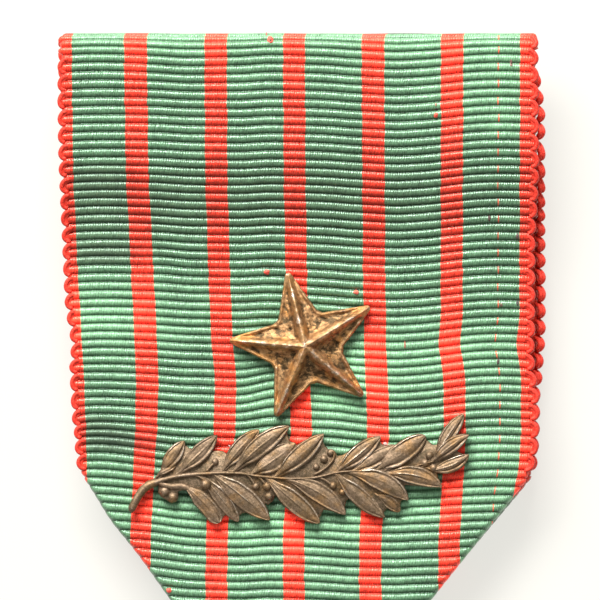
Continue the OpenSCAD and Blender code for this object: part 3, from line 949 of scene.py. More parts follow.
def cloth_section(left, right, folded):
    """The ring of points round the cloth's section: x, how far in from the outer face, and spread."""
    edge_r = 0.3 + 0.06 * folded
    deep = CLOTH_T + FOLD_DEPTH * folded
    width = right - left - 2 * edge_r
    curl = [math.pi * k / CURL_STEPS for k in range(1, CURL_STEPS)]
    ring = [(left + edge_r + width * c / COLUMNS, 0 * left, (0.0, 1.0)) for c in range(COLUMNS + 1)]
    for a in curl:
        out = edge_r * math.sin(a)
        ring.append((right - edge_r + out, deep / 2 * (1 - math.cos(a)), (math.sin(a), math.cos(a))))
    for i in range(INNER_COLUMNS + 1):
        share = i / INNER_COLUMNS
        rim = smooth(abs(2 * share - 1), 0.55, 1.0)
        ring.append((right - edge_r - width * share, CLOTH_T + (deep - CLOTH_T) * rim, (0.0, -0.5)))
    for a in curl[::-1]:
        out = edge_r * math.sin(a)
        ring.append((left + edge_r - out, deep / 2 * (1 - math.cos(a)), (math.sin(a), math.cos(a))))
    return ring


def build_ribbon(material):
    """The whole ribbon as one closed mesh, each row a closed ring round the cloth's section."""
    loop = Loop()
    s, phase = ribbon_rows(loop)
    drop, z = loop.place(s)
    # The back layer lies a little to the right of the front one
    over_fold = smooth(z, FOLD_TOP - 2 * FOLD_R - 0.8, FOLD_TOP - 0.8 * FOLD_R)
    on_front = np.where(drop < FOLD_DROP, over_fold, smooth(z, RING_Z, RING_Z + 1.5))
    back_shift = BACK_SHIFT * (1 - on_front) * (1 - smooth(drop, CORNER_DROP - 4, CORNER_DROP + 10))
    left, right = cloth_edges(loop, s, phase, back_shift)
    folded = fold_share(drop) * (1 - smooth(drop, END_DROP - 4.5, END_DROP - 1.5))
    points, strip, painted_light = [], [], []
    for x, inward, spread in cloth_section(left, right, folded):
        found, height = cloth_points(loop, s, phase, x, inward, spread)
        points.append(found)
        strip.append(np.stack([warp_place(found[:, 0] - back_shift, found[:, 1]), phase, height], -1))
        # Painted light on the right side's curl below the folded corners, which lies in shade.
        curl_painted_light = FOLD_PAINTED_LIGHT * folded * max(0.0, spread[0]) * (x > 0)
        painted_light.append((cloth_painted_light(found[:, 0], found[:, 1]) + curl_painted_light) * (s < loop.front_end))
    points, strip = (np.stack(v, 1).reshape(-1, 3) for v in (points, strip))
    faces = grid_faces(len(s), len(painted_light), close_rows=True)
    values = {"strip": strip, "painted_light": np.stack(painted_light, 1).ravel()}
    piece = make_piece("ribbon_cloth", points, faces, material, values)
    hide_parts("ribbon")
    return piece, loop


def add_tube(mesh, line, radii, sides, value):
    """Adds a closed tube along a line of points, with a blunt tip at each end."""
    line = np.asarray(line, float)
    run = unit(np.gradient(line, axis=0))
    points = []
    for middle, ahead, r in zip(line, run, radii):
        side = np.cross(ahead, (0.0, 0.0, 1.0))
        side = side / np.linalg.norm(side)
        top = np.cross(side, ahead)
        points += [middle + r * (math.cos(a) * side + math.sin(a) * top) for a in circle(sides)]
    points += [line[0] - run[0] * radii[0] * 0.5, line[-1] + run[-1] * radii[-1] * 0.5]
    mesh.add(points, tipped_faces(len(line), sides), value)


# A loop of cord round two ribs: pixels out from the edge, and down from the top of the upper rib
PICOT_LINE = [
    (-7, 3.6), (-4.6, 4.2), (-2.6, 5.8), (-0.9, 8.4), (-0.1, 11.4), (-0.6, 14.2), (-2.4, 16.4), (-5, 17.4),
]
PICOT_R = 0.19
# A straighter cord lies a little further in, under each loop
PAD_R, PAD_IN_PX = 0.2, 2.8
# For each layer and side: the rib of the first loop, how far the loops reach out in pixels, how far in from
# the outer face they and the cords under them lie, and how much their outer end curls up. The back layer's
# right loops curl up to the front ones, and their colour is painted lighter than the rest: painted light
# where the front layer shades them.
PICOT_ROWS = {
    ("front", -1): (4, -0.4, 0.16, 0.09, 0.0),
    ("front", 1): (1, -2.0, 0.16, 0.09, 0.0),
    ("back", -1): (1, -0.4, 0.62, -0.15, 0.0),
    ("back", 1): (6, -0.6, 0.62, -0.15, 0.9),
}


def picot_line(loop, layer, side, rib, shape):
    """The line of one loop of cord, whose reach and lean differ a little from its neighbours'."""
    _, reach_out, inward, _, curl = PICOT_ROWS[layer, side]
    front = layer == "front"
    seed = rib * 1.7 + side * 3.1 + (0.0 if front else 5.0)
    lean = 0.6 * noise.noise((seed, 2.0, 1.0))
    reach = 1 + 0.5 * noise.noise((seed, 7.0, 1.0))
    edge = left_edge if side < 0 else right_edge
    line = []
    for out, down in shape:
        s = ((rib - 0.5) * RIB_PITCH + px(down + lean)) * (1 if front else -1)
        s = s + float(rib_shift(edge(np.array([abs(s)])), np.array([s]))[0])
        drop, z = loop.place(s)
        out_drop, out_z = loop.outward(s)
        shift = 0.0 if front else BACK_SHIFT * float(smooth(drop, 2.5, 6.5))
        if front and side > 0:
            shift = float(front_out(drop))
        x = float(edge(drop)) + shift + side * px(out * reach + reach_out)
        deep = inward + 0.05 * (down - 3.6) / 14 + curl * (out + 7) / 7
        line.append((x, drop - out_drop * deep, z - out_z * deep))
    return line


def build_picots(loop, material):
    """Loops of red cord round the end of every second rib, along both straight edges of both layers."""
    mesh = Mesh("loop_painted_light")
    at = distances(np.array(PICOT_LINE))
    steps = np.linspace(0, at[-1], 14)
    shape = np.stack([curve(list(zip(at, values)))(steps) for values in zip(*PICOT_LINE)], 1)
    last = int((CORNER_DROP + 0.5) / RIB_PITCH)
    for (layer, side), (first, _, _, low, curl) in PICOT_ROWS.items():
        # Painted light on the loops that curl up, where the front layer shades them.
        loop_painted_light = 1.0 if curl > 0 else 0.0
        for rib in range(first, last, 2):
            line = picot_line(loop, layer, side, rib, shape)
            add_tube(mesh, line, [PICOT_R] * len(line), 7, loop_painted_light)
            pad = [(x - side * px(PAD_IN_PX), drop, z - low) for x, drop, z in line[2:12]]
            add_tube(mesh, pad, [PAD_R] * len(pad), 6, loop_painted_light)
    piece = mesh.piece("ribbon_picots", material)
    return piece


SPECK_RINGS, SPECK_SIDES = 5, 14
# How deep a bead's edge goes into the cloth at most, and a height above the whole medal
SPECK_SUNK, OVER_ALL = 0.12, 12.0
# HOLE_SHADE is near black: painted shade where small holes show in two stitches.
STITCH, FAINT, HOLE_SHADE = (0.80, 0.085, 0.050), (0.40, 0.13, 0.08), (0.020, 0.016, 0.010)
# Stray stitches, small stains, bits of fluff and near-black beads of painted shade in small holes on the
# cloth: middle, half width and half height in pixels of the photograph, turn in degrees, rise in millimetres
# and colour
SPECKS = [
    (267.0, 272.0, 3.1, 2.5, 0, 0.15, STITCH),
    (356.0, 292.3, 3.1, 2.3, 0, 0.13, (0.72, 0.13, 0.08)),
    (270.4, 40.3, 3.5, 3.5, 0, 0.14, STITCH),
    (270.8, 40.8, 1.6, 1.1, 0, 0.22, HOLE_SHADE),
    (266.5, 34.3, 0.9, 1.8, 0, 0.05, FAINT),
    (435.4, 115.8, 2.2, 2.9, 0, 0.16, STITCH),
    (436.0, 110.0, 1.6, 1.4, 0, 0.03, HOLE_SHADE),
    (435.5, 105.0, 0.8, 1.7, 0, 0.04, FAINT),
    (169.0, 590.5, 2.8, 2.4, -20, 0.13, STITCH),
    (230.0, 446.8, 0.8, 2.2, -45, 0.12, (0.82, 0.78, 0.70)),
    (385.0, 443.9, 2.0, 1.9, 0, 0.12, (0.74, 0.42, 0.37)),
    (510.8, 63.5, 1.6, 3.3, 0, 0.03, (0.20, 0.10, 0.08)),
    (489.4, 218.3, 1.4, 3.4, 0, 0.03, (0.060, 0.030, 0.022)),
    (517.4, 236.6, 1.6, 3.4, 0, 0.03, (0.075, 0.050, 0.040)),
    (517.6, 303.0, 1.4, 2.9, 0, 0.03, (0.045, 0.040, 0.034)),
    (498.3, 361.5, 1.6, 3.3, 15, 0.04, (0.055, 0.040, 0.030)),
    (405.0, 345.0, 0.9, 4.6, 0, 0.03, (0.34, 0.12, 0.07)),
    (501.0, 305.0, 1.8, 2.2, 0, 0.03, (0.13, 0.085, 0.05)),
]


def speck_points(cloth, number, speck):
    """Rings of points of one bead, from its middle out and under, each on the rib below it."""
    across, down, half_w, half_h, lean, rise, _ = speck
    c, s = math.cos(math.radians(lean)), math.sin(math.radians(lean))
    points, level = [], 0.0
    shares = [k / SPECK_RINGS for k in range(SPECK_RINGS + 1)]
    for share, up in [(v, math.sqrt(1 - v**2)) for v in shares] + [(0.9, -0.6)]:
        for a in circle(SPECK_SIDES if share > 0 else 1):
            wide = 1 + 0.35 * grain(math.cos(a), math.sin(a), 1.3, number * 3.3)
            x, y = half_w * share * wide * math.cos(a), half_h * share * wide * math.sin(a)
            x, drop = x_of(across + x * c - y * s), drop_of(down + x * s + y * c)
            hit = cloth.ray_cast(Vector(to_frame((x, drop, OVER_ALL))), Vector((0, 0, -1)))[0]
            if hit:
                level = hit.z / MM
            points.append((x, drop, level + max(-SPECK_SUNK, rise * up)))
    return points


def build_specks(ribbon, material):
    """Each speck is a small flat bead that follows the ribs under it."""
    corners = [v.co.copy() for v in ribbon.data.vertices]
    cloth = BVHTree.FromPolygons(corners, [tuple(p.vertices) for p in ribbon.data.polygons])
    mesh = Mesh("paint")
    quads = [tuple(1 + v for v in f) for f in flip(grid_faces(SPECK_RINGS + 1, SPECK_SIDES))]
    under = tuple(1 + SPECK_RINGS * SPECK_SIDES + i for i in range(SPECK_SIDES))
    faces = flip(fan_faces(0, 1, SPECK_SIDES)) + quads + [under]
    for number, speck in enumerate(SPECKS):
        mesh.add(speck_points(cloth, number, speck), faces, speck[-1])
    piece = mesh.piece("ribbon_specks", material)
    return piece


# Star

STAR_X, STAR_DROP = 0.5, 24.2
STAR_R, STAR_CORNER_R, STAR_H = 5.82, 2.76, 2.0
STAR_TIP_R = 0.27
STAR_LEAN = 13.4
STAR_RIM = 0.54
STAR_TURN = 72
STAR_HALF_TURN = math.radians(36)
STAR_PRONG_X = 1.6
# The foot of the star and of the palm, under the star's highest point
ORNAMENT_Z = STAR_HIGH.z / MM - 2.1
# The angles from a tip to the next corner where the star has points, in degrees, and their shares of
# the way out: dense at the ridges and at the rim
STAR_ANGLES = [0, 0.4, 0.8, 1.2, 1.7, 2.2, 2.8, 3.4, 4.1, 4.8, 5.6, 6.4, 7.3, 8.2, 9.2, 10.3]
STAR_ANGLES += [11.5, 12.8, 14.1, 15.5, 17, 18.5, 20, 21.6, 23.2, 24.8, 26.4, 28, 29.6, 31.2, 32.8, 34.4]
STAR_SHARES = [*np.linspace(0.02, 0.90, 66), 0.912, 0.924, 0.936, 0.948, 0.960, 0.972, 0.982, 0.991, 1.0]
# The star's relief: how high a ridge ends over the rim, how deep the facets and the valleys between two
# arms are, how high the worn bar, the fine line on it and the bead along the edge stand, how deep the
# groove beside the bar is, and how far the very edge falls
RIDGE_END, FACET, VALLEY = 0.12, 0.34, 0.12
BAR, FINE_LINE, BEAD = 0.12, 0.02, 0.09
GROOVE, EDGE_FALL = 0.12, 0.10
# The casting's rough skin: its coarse, middle and fine bumps, and its pits
COARSE, MEDIUM, FINE, PIT = 0.05, 0.04, 0.012, 0.28
# The star's side below its rim: how far out of the rim, height and wear
STAR_SIDE = [(0.03, STAR_RIM - 0.2, 0.4), (0.02, 0.12, 0.1), (-0.06, 0.0, 0.0)]


def from_tip(angle):
    """How far an angle in degrees is from the nearest tip's, in radians."""
    return math.radians(abs((angle + STAR_TURN / 2) % STAR_TURN - STAR_TURN / 2))


def star_outline(angle):
    """Distance from the centre to the star's edge at an angle, and the slant of its straight side there."""
    a = from_tip(angle)
    corner = STAR_CORNER_R * np.array([math.cos(STAR_HALF_TURN), math.sin(STAR_HALF_TURN)])
    blunt = np.array([STAR_R - STAR_TIP_R, 0.0])
    away = corner - blunt
    turn = math.atan2(away[1], away[0]) + math.asin(STAR_TIP_R / math.hypot(*away))
    run = np.array([math.cos(turn), math.sin(turn)])
    ray = np.array([math.cos(a), math.sin(a)])
    slant = ray[0] * run[1] - ray[1] * run[0]
    distance = (corner[0] * run[1] - corner[1] * run[0]) / slant
    touch = blunt + STAR_TIP_R * np.array([run[1], -run[0]])
    if a < math.atan2(touch[1], touch[0]):
        distance = blunt[0] * ray[0] + math.sqrt(max(0.0, STAR_TIP_R**2 - (blunt[0] * ray[1]) ** 2))
    if a > math.radians(24):
        distance = max(distance, STAR_CORNER_R + 0.16 + 2.6 * (a - STAR_HALF_TURN) ** 2)
    return distance, abs(slant)


def star_height(share, angle, x, y):
    """Height over the star's foot and how worn it is, at a share of the way out to its edge."""
    edge, slant = star_outline(angle)
    away = from_tip(angle)
    r = share * edge
    off = r * math.sin(away)
    inside = (1 - share) * edge * slant
    across = off / (off + inside + 1e-6)
    room = min(1.0, (off + inside) / 1.1)

    # The hollow facets between the ridges, and the valleys between two arms
    ridge_z = STAR_H + (STAR_RIM + RIDGE_END - STAR_H) * (r / STAR_R) ** 1.1
    fall = (ridge_z - STAR_RIM) * across**1.15
    trough = math.sin(math.pi * min(1.0, across**1.2)) ** 1.3
    valley = hump(away - STAR_HALF_TURN, 0.3) * float(smooth(share, 0.12, 0.35)) * (1 - across)
    z = ridge_z - fall - (FACET * trough + VALLEY * valley) * room

    # The broad worn bar along each ridge, with a fine line on it, and the bead along the edge
    uneven = grain(x, y, 1.1, 33.0)
    half_bar = 0.40 - 0.17 * r / STAR_R + 0.05 * uneven
    bar, line = hump(off, half_bar, 4), hump(off, 0.12)
    z += (BAR * bar + 0.5 * fall * bar + FINE_LINE * line) * min(1.0, room * 1.3)
    z -= GROOVE * hump(off - half_bar - 0.16, 0.15) * room * (0.8 + 0.8 * uneven)
    bead = hump(inside - 0.15, 0.12) * (0.75 + 0.9 * grain(x, y, 0.9, 50.0))
    z += BEAD * bead * room - EDGE_FALL * hump(inside, 0.05)

    # The rough skin of the casting, and its pits
    coarse, small = grain(x, y, 1.7, 4.0), grain(x, y, 9.0, 14.0)
    medium = noise.noise((x * 2.6, y * 5.6, 9.0))
    cast = min(1.0, off / 0.3) * (1 - 0.5 * bead)
    z += (COARSE * coarse + MEDIUM * medium) * cast + FINE * small * min(1.0, 0.35 + cast)
    pit = max(0.0, grain(x, y, 2.6, 20.0) - 0.24) * trough
    z -= PIT * pit * room

    worn = max(0.74 * line, 0.64 * bar, 0.60 * bead, 0.8 * hump(r, 0.4))
    worn *= 0.90 + 0.4 * coarse + 0.3 * medium
    field = 0.37 + 0.38 * coarse + 0.34 * medium + 0.24 * small - 0.26 * trough * room - 1.5 * pit
    return z, max(worn, min(0.66, max(-0.2, field)))


def star_points(angles):
    """Rings of points over the star's face and down its side, then one above and one below its middle."""
    points, wear = [], []

    def add(r, angle, z, worn):
        turn = math.radians(90 + STAR_LEAN + angle)
        points.append((STAR_X + r * math.cos(turn), STAR_DROP - r * math.sin(turn), ORNAMENT_Z + z))
        wear.append(worn)

    for share in STAR_SHARES:
        for angle in angles:
            r = share * star_outline(angle)[0]
            turn = math.radians(90 + STAR_LEAN + angle)
            add(r, angle, *star_height(share, angle, r * math.cos(turn), r * math.sin(turn)))
    for out, z, worn in STAR_SIDE:
        for angle in angles:
            add(star_outline(angle)[0] + out, angle, z, worn)
    add(0, 0, STAR_H + 0.04, 0.8)
    add(0, 0, 0, 0.0)
    return points, wear


def build_star(material):
    """A cast star: five sharp ridges, hollow facets, worn edges and pits, flat underneath."""
    half = STAR_ANGLES + [STAR_TURN / 2] + [STAR_TURN - a for a in STAR_ANGLES[:0:-1]]
    angles = [STAR_TURN * i + a for i in range(5) for a in half]
    rings, count = len(STAR_SHARES) + len(STAR_SIDE), len(angles)
    faces = [(a, d, c, b) for a, b, c, d in grid_faces(rings, count)]
    faces += fan_faces(rings * count, 0, count)
    faces += flip(fan_faces(rings * count + 1, (rings - 1) * count, count))
    mesh = Mesh("wear")
    points, wear = star_points(angles)
    mesh.add(points, faces, wear)
    for side in (-1, 1):
        add_prong(mesh, STAR_X + side * STAR_PRONG_X, STAR_DROP)
    piece = mesh.piece("star_cast", material)
    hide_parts("star")


def add_block(mesh, low, high, bevel, wear):
    """Adds a box with its edges cut off, from low to high in medal millimetres."""
    low, high = np.array(low, float), np.array(high, float)
    middle, half = (low + high) / 2, (high - low) / 2
    points, index = [], {}
    for corner in product((-1, 1), repeat=3):
        for axis in range(3):
            cut = np.full(3, bevel)
            cut[axis] = 0
            index[corner, axis] = len(points)
            points.append(tuple(middle + np.array(corner) * (half - cut)))

    def at(axis, end, others, owner):
        """The point of the corner with this end along an axis, on the face of another axis."""
        corner = [*others]
        corner.insert(axis, end)
        return index[tuple(corner), owner]

    def outward(face, is_out):
        return face[::-1] if is_out else face

    faces = []
    square = ((-1, -1), (1, -1), (1, 1), (-1, 1))
    for axis in range(3):
        for end in (-1, 1):
            face = [at(axis, end, others, axis) for others in square]
            faces.append(outward(face, (end > 0) == (axis != 1)))
    for axis in range(3):
        b, c = [i for i in range(3) if i != axis]
        for others in product((-1, 1), repeat=2):
            face = [at(axis, end, others, owner) for end, owner in ((-1, b), (1, b), (1, c), (-1, c))]
            faces.append(outward(face, (math.prod(others) > 0) == (axis != 1)))
    for corner in product((-1, 1), repeat=3):
        faces.append(outward([index[corner, axis] for axis in range(3)], math.prod(corner) > 0))
    mesh.add(points, faces, wear)


PRONG_W, PRONG_T, PRONG_L, PRONG_BEVEL = 1.0, 0.4, 2.4, 0.06


def add_prong(mesh, x, drop):
    """A flat prong down through the cloth, bent up the ribbon behind its front layer."""
    foot = FRONT_LOW - HALF_WALL - 0.3 - PRONG_T
    low_x, high_x, end = x - PRONG_W / 2, x + PRONG_W / 2, drop + PRONG_T / 2
    root = ORNAMENT_Z + 0.2
    add_block(mesh, (low_x, drop - PRONG_T / 2, foot), (high_x, end, root), PRONG_BEVEL, 0.3)
    add_block(mesh, (low_x, end - PRONG_L, foot), (high_x, end, foot + PRONG_T), PRONG_BEVEL, 0.3)


# Palm

PALM_DROP, PALM_PRONG_X = 33.75, 6.0
PLATE_T, LEAF_H, STEM_H = 0.44, 0.68, 0.72
# A leaf: where it leaves the stem, its tip, its width, how far its middle bows to its left, how far it
# lies above the lowest leaves, and how blunt its tip is. Y is measured up from PALM_DROP.
LEAVES = [
    (-10.56, -0.15, -8.82, 2.26, 1.22, 0.0, 0.1, 0.15),
    (-10.9, -0.40, -9.5, 0.33, 0.50, 0.05, 0.1, 0.5),
    (-9.2, -0.15, -6.3, 2.70, 1.34, -0.05, 0.1, 0.1),
    (-5.8, 0.0, -3.05, 3.10, 1.35, 0.15, 0.0, 0.25),
    (-4.9, 0.0, -0.75, 3.4, 1.55, 0.20, 0.2, 0.2),
    (-3.6, -0.3, -0.25, 2.05, 1.75, -0.08, 0.05, 0.4),
    (-1.8, -0.5, 1.95, 2.8, 1.50, -0.05, 0.2, 0.1),
    (3.0, -0.1, 6.33, 2.60, 1.38, 0.02, 0.15, 0.2),
    (4.2, -0.1, 7.58, 1.92, 1.25, -0.06, 0.05, 0.3),
    (6.0, 0.0, 9.78, 2.65, 1.6, -0.05, 0.2, 0.8),
    (10.6, 1.1, 12.75, 4.33, 1.12, 0.10, 0.1, 0.4),
    (10.3, 0.6, 13.12, 2.72, 1.15, 0.15, 0.2, 0.1),
    (10.2, 0.0, 13.12, 1.2, 1.1, -0.25, 0.0, 0.3),
    (-8.75, -1.25, -6.12, -4.06, 1.28, 0.20, 0.15, 1.0),
    (-7.4, -0.5, -4.66, -3.95, 1.2, 0.10, 0.0, 0.6),
    (-6.6, -0.3, -2.25, -3.83, 1.7, 0.10, 0.15, 0.2),
    (-2.4, -0.65, 1.60, -4.05, 1.5, -0.02, 0.2, 0.55),
    (-0.9, -0.7, 3.6, -3.42, 1.55, 0.40, 0.05, 0.3),
    (6.1, -1.95, 7.78, -3.22, 1.0, 0.15, -0.1, 0.5),
    (2.9, -0.3, 6.62, -3.62, 1.4, -0.10, 0.05, 0.3),
    (4.0, -0.2, 8.45, -2.3, 1.55, 0.45, 0.2, 0.2),
    (6.8, -0.3, 11.05, -1.27, 1.45, 0.40, 0.15, 0.1),
]
STEM = [
    (-12.96, -3.2, 0.31), (-12.5, -2.2, 0.31), (-11.8, -1.3, 0.33), (-11.1, -0.96, 0.30),
    (-10.32, -0.69, 0.22), (-9.17, -0.44, 0.19), (-7.62, -0.29, 0.19), (-5.92, -0.21, 0.18),
    (-4.53, -0.24, 0.16), (-3.37, -0.42, 0.14), (-2.22, -0.55, 0.14), (-0.67, -0.65, 0.12),
    (0.49, -0.64, 0.12), (1.64, -0.50, 0.12), (2.65, -0.23, 0.12), (3.58, -0.10, 0.11),
    (5.12, -0.04, 0.09), (6.66, 0.0, 0.08), (8.44, 0.2, 0.08), (10.45, 0.7, 0.09),
]
# The outline of the plate that joins the leaves, in pixels of the photograph
PLATE_PX = [
    (154, 480), (166, 461), (180, 446), (186, 445.5), (189, 448), (197, 450), (213, 451), (218, 450.5),
    (223.5, 451.3), (228, 455), (238, 447), (252, 436), (258, 434), (262, 435.5), (273, 433), (286, 431),
    (289.5, 440), (293.5, 444.8), (296, 445), (306, 443), (321, 437.5), (325, 446), (328, 449),
    (331, 449.8), (334.8, 451.1), (336.3, 453.5), (337, 456), (343, 455), (354, 447), (369, 440),
    (379, 438.5), (382, 444), (386, 446), (393, 446), (398, 451.5), (411, 443), (424, 438.5), (429.5, 442),
    (432, 444.5), (436, 445), (443, 436), (451, 425), (461, 419), (458, 433), (466, 437), (457, 451),
    (466, 456), (451, 465), (436.5, 472.5), (439, 482), (423, 486.5), (404.5, 484.5), (404.5, 498),
    (400.5, 501), (400, 506), (399, 512), (395, 511), (390.5, 507), (387, 508.5), (384, 512), (381, 514),
    (369, 510.5), (352.5, 499.2), (349.2, 498), (346.5, 500.5), (343, 511.5), (330, 510.5), (323.5, 509.5),
    (319, 519), (304.5, 513.5), (290, 504), (278, 494.5), (275, 495.5), (272.7, 500.5), (268.3, 504.6),
    (265, 503), (267, 516.5), (246, 512.5), (242.3, 513.3), (238, 516.5), (230, 512.5), (225.8, 514.8),
    (220, 519.5), (208.5, 515.5), (200, 504), (193, 494.5), (188, 490.5), (182.6, 490.2), (178, 491.5),
    (178.5, 497), (176, 501.5), (171.5, 503), (167.5, 500.5), (160.8, 496), (158.3, 492), (159, 486),
]
PLATE = [(x_of(a), PALM_DROP - drop_of(b)) for a, b in PLATE_PX]
BERRIES = [
    (-10.35, -1.65, 0.40), (-9.7, -2.1, 0.42), (-7.15, -1.1, 0.42, 0.3), (-6.45, 0.65, 0.28),
    (-3.3, -1.25, 0.32), (-2.45, -1.25, 0.36), (-2.3, -2.05, 0.34), (1.35, 0.25, 0.26), (1.95, 0.85, 0.32),
    (2.45, 1.35, 0.30), (2.65, -1.2, 0.30), (3.35, -1.7, 0.24), (10.1, 1.12, 0.33), (9.75, 0.55, 0.34),
    (10.4, 0.17, 0.35),
]
leaf_width = curve([(0, 0.16), (0.15, 0.5), (0.35, 0.9), (0.55, 1), (0.75, 0.82), (0.9, 0.45), (1, 0.02)])
# The steps along a leaf, as shares of its length: a short stretch hidden in the stem comes before 0
LEAF_STEPS = [*np.linspace(-0.2, 0, 7)[:-1], *np.linspace(0, 0.82, 24), *np.linspace(0.85, 0.97, 7)]
LEAF_STEPS += [0.985, 0.995, 1.0]
# How far back along the stem a leaf's foot bends, and from how far off the stem it stays straight
SWEEP = 0.8
SPRUNG_AWAY = 0.75
# A leaf's relief gets lower where it is narrower than this from its midrib to its edge
FULL_RELIEF_W = 0.42
# How far a leaf falls to its tip, and to its foot in the stem
TIP_FALL, FOOT_FALL = 0.20, 0.10
STEM_COUNT, STEM_SIDES = 90, 12
BERRY_RINGS, BERRY_SIDES = 13, 20


def palm_point(x, y, z):
    return (x, PALM_DROP - y, ORNAMENT_Z + z)


def leaf_path(leaf):
    """The leaf's middle line: it leaves the stem along it, turns, and bows to its tip."""
    base, tip, bow = np.array(leaf[:2]), np.array(leaf[2:4]), leaf[5]
    along = (tip - base) / np.linalg.norm(tip - base)
    left = np.array([-along[1], along[0]])
    stem = smooth_line(STEM, STEM_COUNT)[:, :2]
    at = distances(stem)
    away = np.linalg.norm(stem - base, axis=1)
    nearest = at[np.argmin(away)]
    path = []
    for t in LEAF_STEPS:
        u = max(t, 0.0)
        own = base + (tip - base) * u + left * bow * 4 * u * (1 - u)
        if min(away) > SPRUNG_AWAY:
            path.append(own + along * min(t, 0.0) * 1.5)
            continue
        pull = max(0.0, 0.10 - t) / 0.30
        back = max(0.0, nearest - SWEEP * pull)
        join = np.array([np.interp(back, at, stem[:, 0]), np.interp(back, at, stem[:, 1])])
        path.append(own * (1 - pull**1.3) + join * pull**1.3)
    return np.array(path)


def leaf_half_width(t, width, blunt):
    u = max(t, 0.0)
    square = 2 + 10 * max(0.0, blunt - 0.8)
    rounded = math.sqrt(max(0.0, 1 - (max(0.0, u - 0.62) / 0.38) ** square)) * min(1.0, 0.16 + 2.2 * u)
    half = max(0.012, (float(leaf_width(u)) * (1 - blunt) + rounded * blunt) * width / 2)
    return half * (1 - 0.45 * max(0.0, -t) / 0.2)


def half_section(w, crest, relief, rib, broad, lively, slope):
    """One half of a leaf's section: how far out from its midrib, height over its crest, and wear."""
    k = min(1.0, w / FULL_RELIEF_W)
    rim_h = 0.10 * relief * lively
    slope *= k
    foot, rim = 0.11 * k, w - (0.16 + 0.12 * broad) * k
    field = rim - foot
    worn = 0.34 + (0.46 - 0.08 * broad) * lively * relief
    return [
        (0.0, 0.06 * rib, 0.34 + 0.46 * rib),
        (0.035 * k, 0.045 * rib, 0.32 + 0.36 * rib),
        (0.075 * k, -0.015 * rib, 0.20 + 0.1 * (k - rib)),
        (foot + 0.02 * k, -0.015 * rib - 0.1 * slope, 0.26),
        (foot + 0.25 * field, -0.15 * slope, 0.35),
        (foot + 0.5 * field, -0.4 * slope, 0.38),
        (foot + 0.78 * field, -0.8 * slope, 0.33),
        (rim, -slope - 0.25 * rim_h, 0.20),
        (w - (0.12 + 0.08 * broad) * k, -1.1 * slope + 0.6 * rim_h, 0.38 + 0.1 * broad),
        (w - (0.08 + 0.04 * broad) * k, -1.2 * slope + rim_h, worn),
        (w - 0.035 * k, -1.4 * slope + 0.7 * rim_h - 0.01 * k, worn * 0.85),
        # Down the leaf's side the wear falls to nought, so the recess colour gives a dark line along its
        # edge: patina, and painted shade where the leaf meets the plate.
        (w, -0.10 * k - slope, 0.18),
        (w + 0.02, -0.24, 0.04),
        (w + 0.03, 0.05 - crest, 0.0),
    ]


def add_leaf(mesh, leaf, seed):
    """One leaf: a raised bead along its edge, a thin raised midrib, and a low field between them."""
    width, _, lift, blunt = leaf[4:]
    path = leaf_path(leaf)
    run = unit(np.gradient(path, axis=0))
    # The foot that is hidden in the stem is turned halfway to the leaf
    run[:5] = (run[:5] + run[5]) / 2
    strength = min(1.0, max(0.1, 0.6 + 1.8 * noise.noise((seed * 5.3, 0.5, 2.0))))
    points, wear = [], []
    for t, middle, side in zip(LEAF_STEPS, path, left_of(unit(run))):
        u = max(t, 0.0)
        w = leaf_half_width(t, width, blunt)
        grown = float(smooth(u, 0.0, 0.28))
        crest = LEAF_H + lift - TIP_FALL * u * u - (FOOT_FALL + lift) * (1 - grown)
        crest -= FOOT_FALL * max(0.0, -t) / 0.2
        relief = min(1.0, w / FULL_RELIEF_W) * (0.15 + 0.85 * grown)
        rib = relief * float(1 - smooth(u, 0.55, 0.82)) * strength
        halves = []
        for hand in (-1, 1):
            # The edge that faces right has a broader and livelier bead
            broad = float(smooth(hand * side[0], -0.2, 0.35))
            lively = 0.55 + 0.35 * broad + 1.2 * noise.noise((seed * 3.1 + hand, u * 2.0, 1.0))
            lively = min(1.4, max(0.05 + 0.35 * broad, lively))
            slope = (0.085 + 0.03 * broad) * (1 + noise.noise((seed * 1.7, u * 1.5, hand * 2.0)))
            halves.append(half_section(w, crest, relief, rib, broad, lively, slope))
        ring = [(-out, z, worn) for out, z, worn in halves[0][:0:-1]] + halves[1]
        for out, z, worn in ring:
            x, y = middle + side * out
            rough = 0.030 * grain(x, y, 2.2, 5.0) + 0.014 * grain(x, y, 6, 8.0)
            points.append(palm_point(x, y, crest + z + rough))
            wear.append(worn + 0.12 * grain(x, y, 1.3, 12.0))
    mesh.add(points, loft_faces(len(path), len(ring)), wear)


def add_stem(mesh):
    """The stem: round on top, with a flat side down into the plate, and a rough worn skin."""
    line = smooth_line(STEM, STEM_COUNT)
    sides = left_of(unit(np.gradient(line[:, :2], axis=0)))
    points, wear = [], []
    for k, ((x, y, r), side) in enumerate(zip(line, sides)):
        end = min(1.0, 0.6 + k * 0.4)
        half = (STEM_H * (1 - 0.12 * k / STEM_COUNT) + 0.07 * grain(x, y, 0.8, 4.4)) / 2
        patchy = 0.26 + 0.45 * grain(x, y, 0.9, 7.7)
        for i, a in enumerate(circle(STEM_SIDES)):
            out, rise = math.sin(a), math.cos(a)
            reach = r * out * (1 + 0.22 * grain(x, y, 1.6, i * 1.3)) * end
            z = half + (half if rise > 0 else 0.34) * rise * end
            points.append(palm_point(x + side[0] * reach, y + side[1] * reach, z))
            wear.append(0.18 + patchy * max(0.0, rise) ** 2)
    mesh.add(points, flip(loft_faces(STEM_COUNT, STEM_SIDES)), wear)


def inset(outline, amount):
    """A closed outline moved inward by amount, corner by corner. It runs clockwise."""
    shape = np.array(outline, float)
    ahead, behind = unit(np.roll(shape, -1, 0) - shape), unit(shape - np.roll(shape, 1, 0))
    return shape - left_of(unit(ahead + behind)) * amount


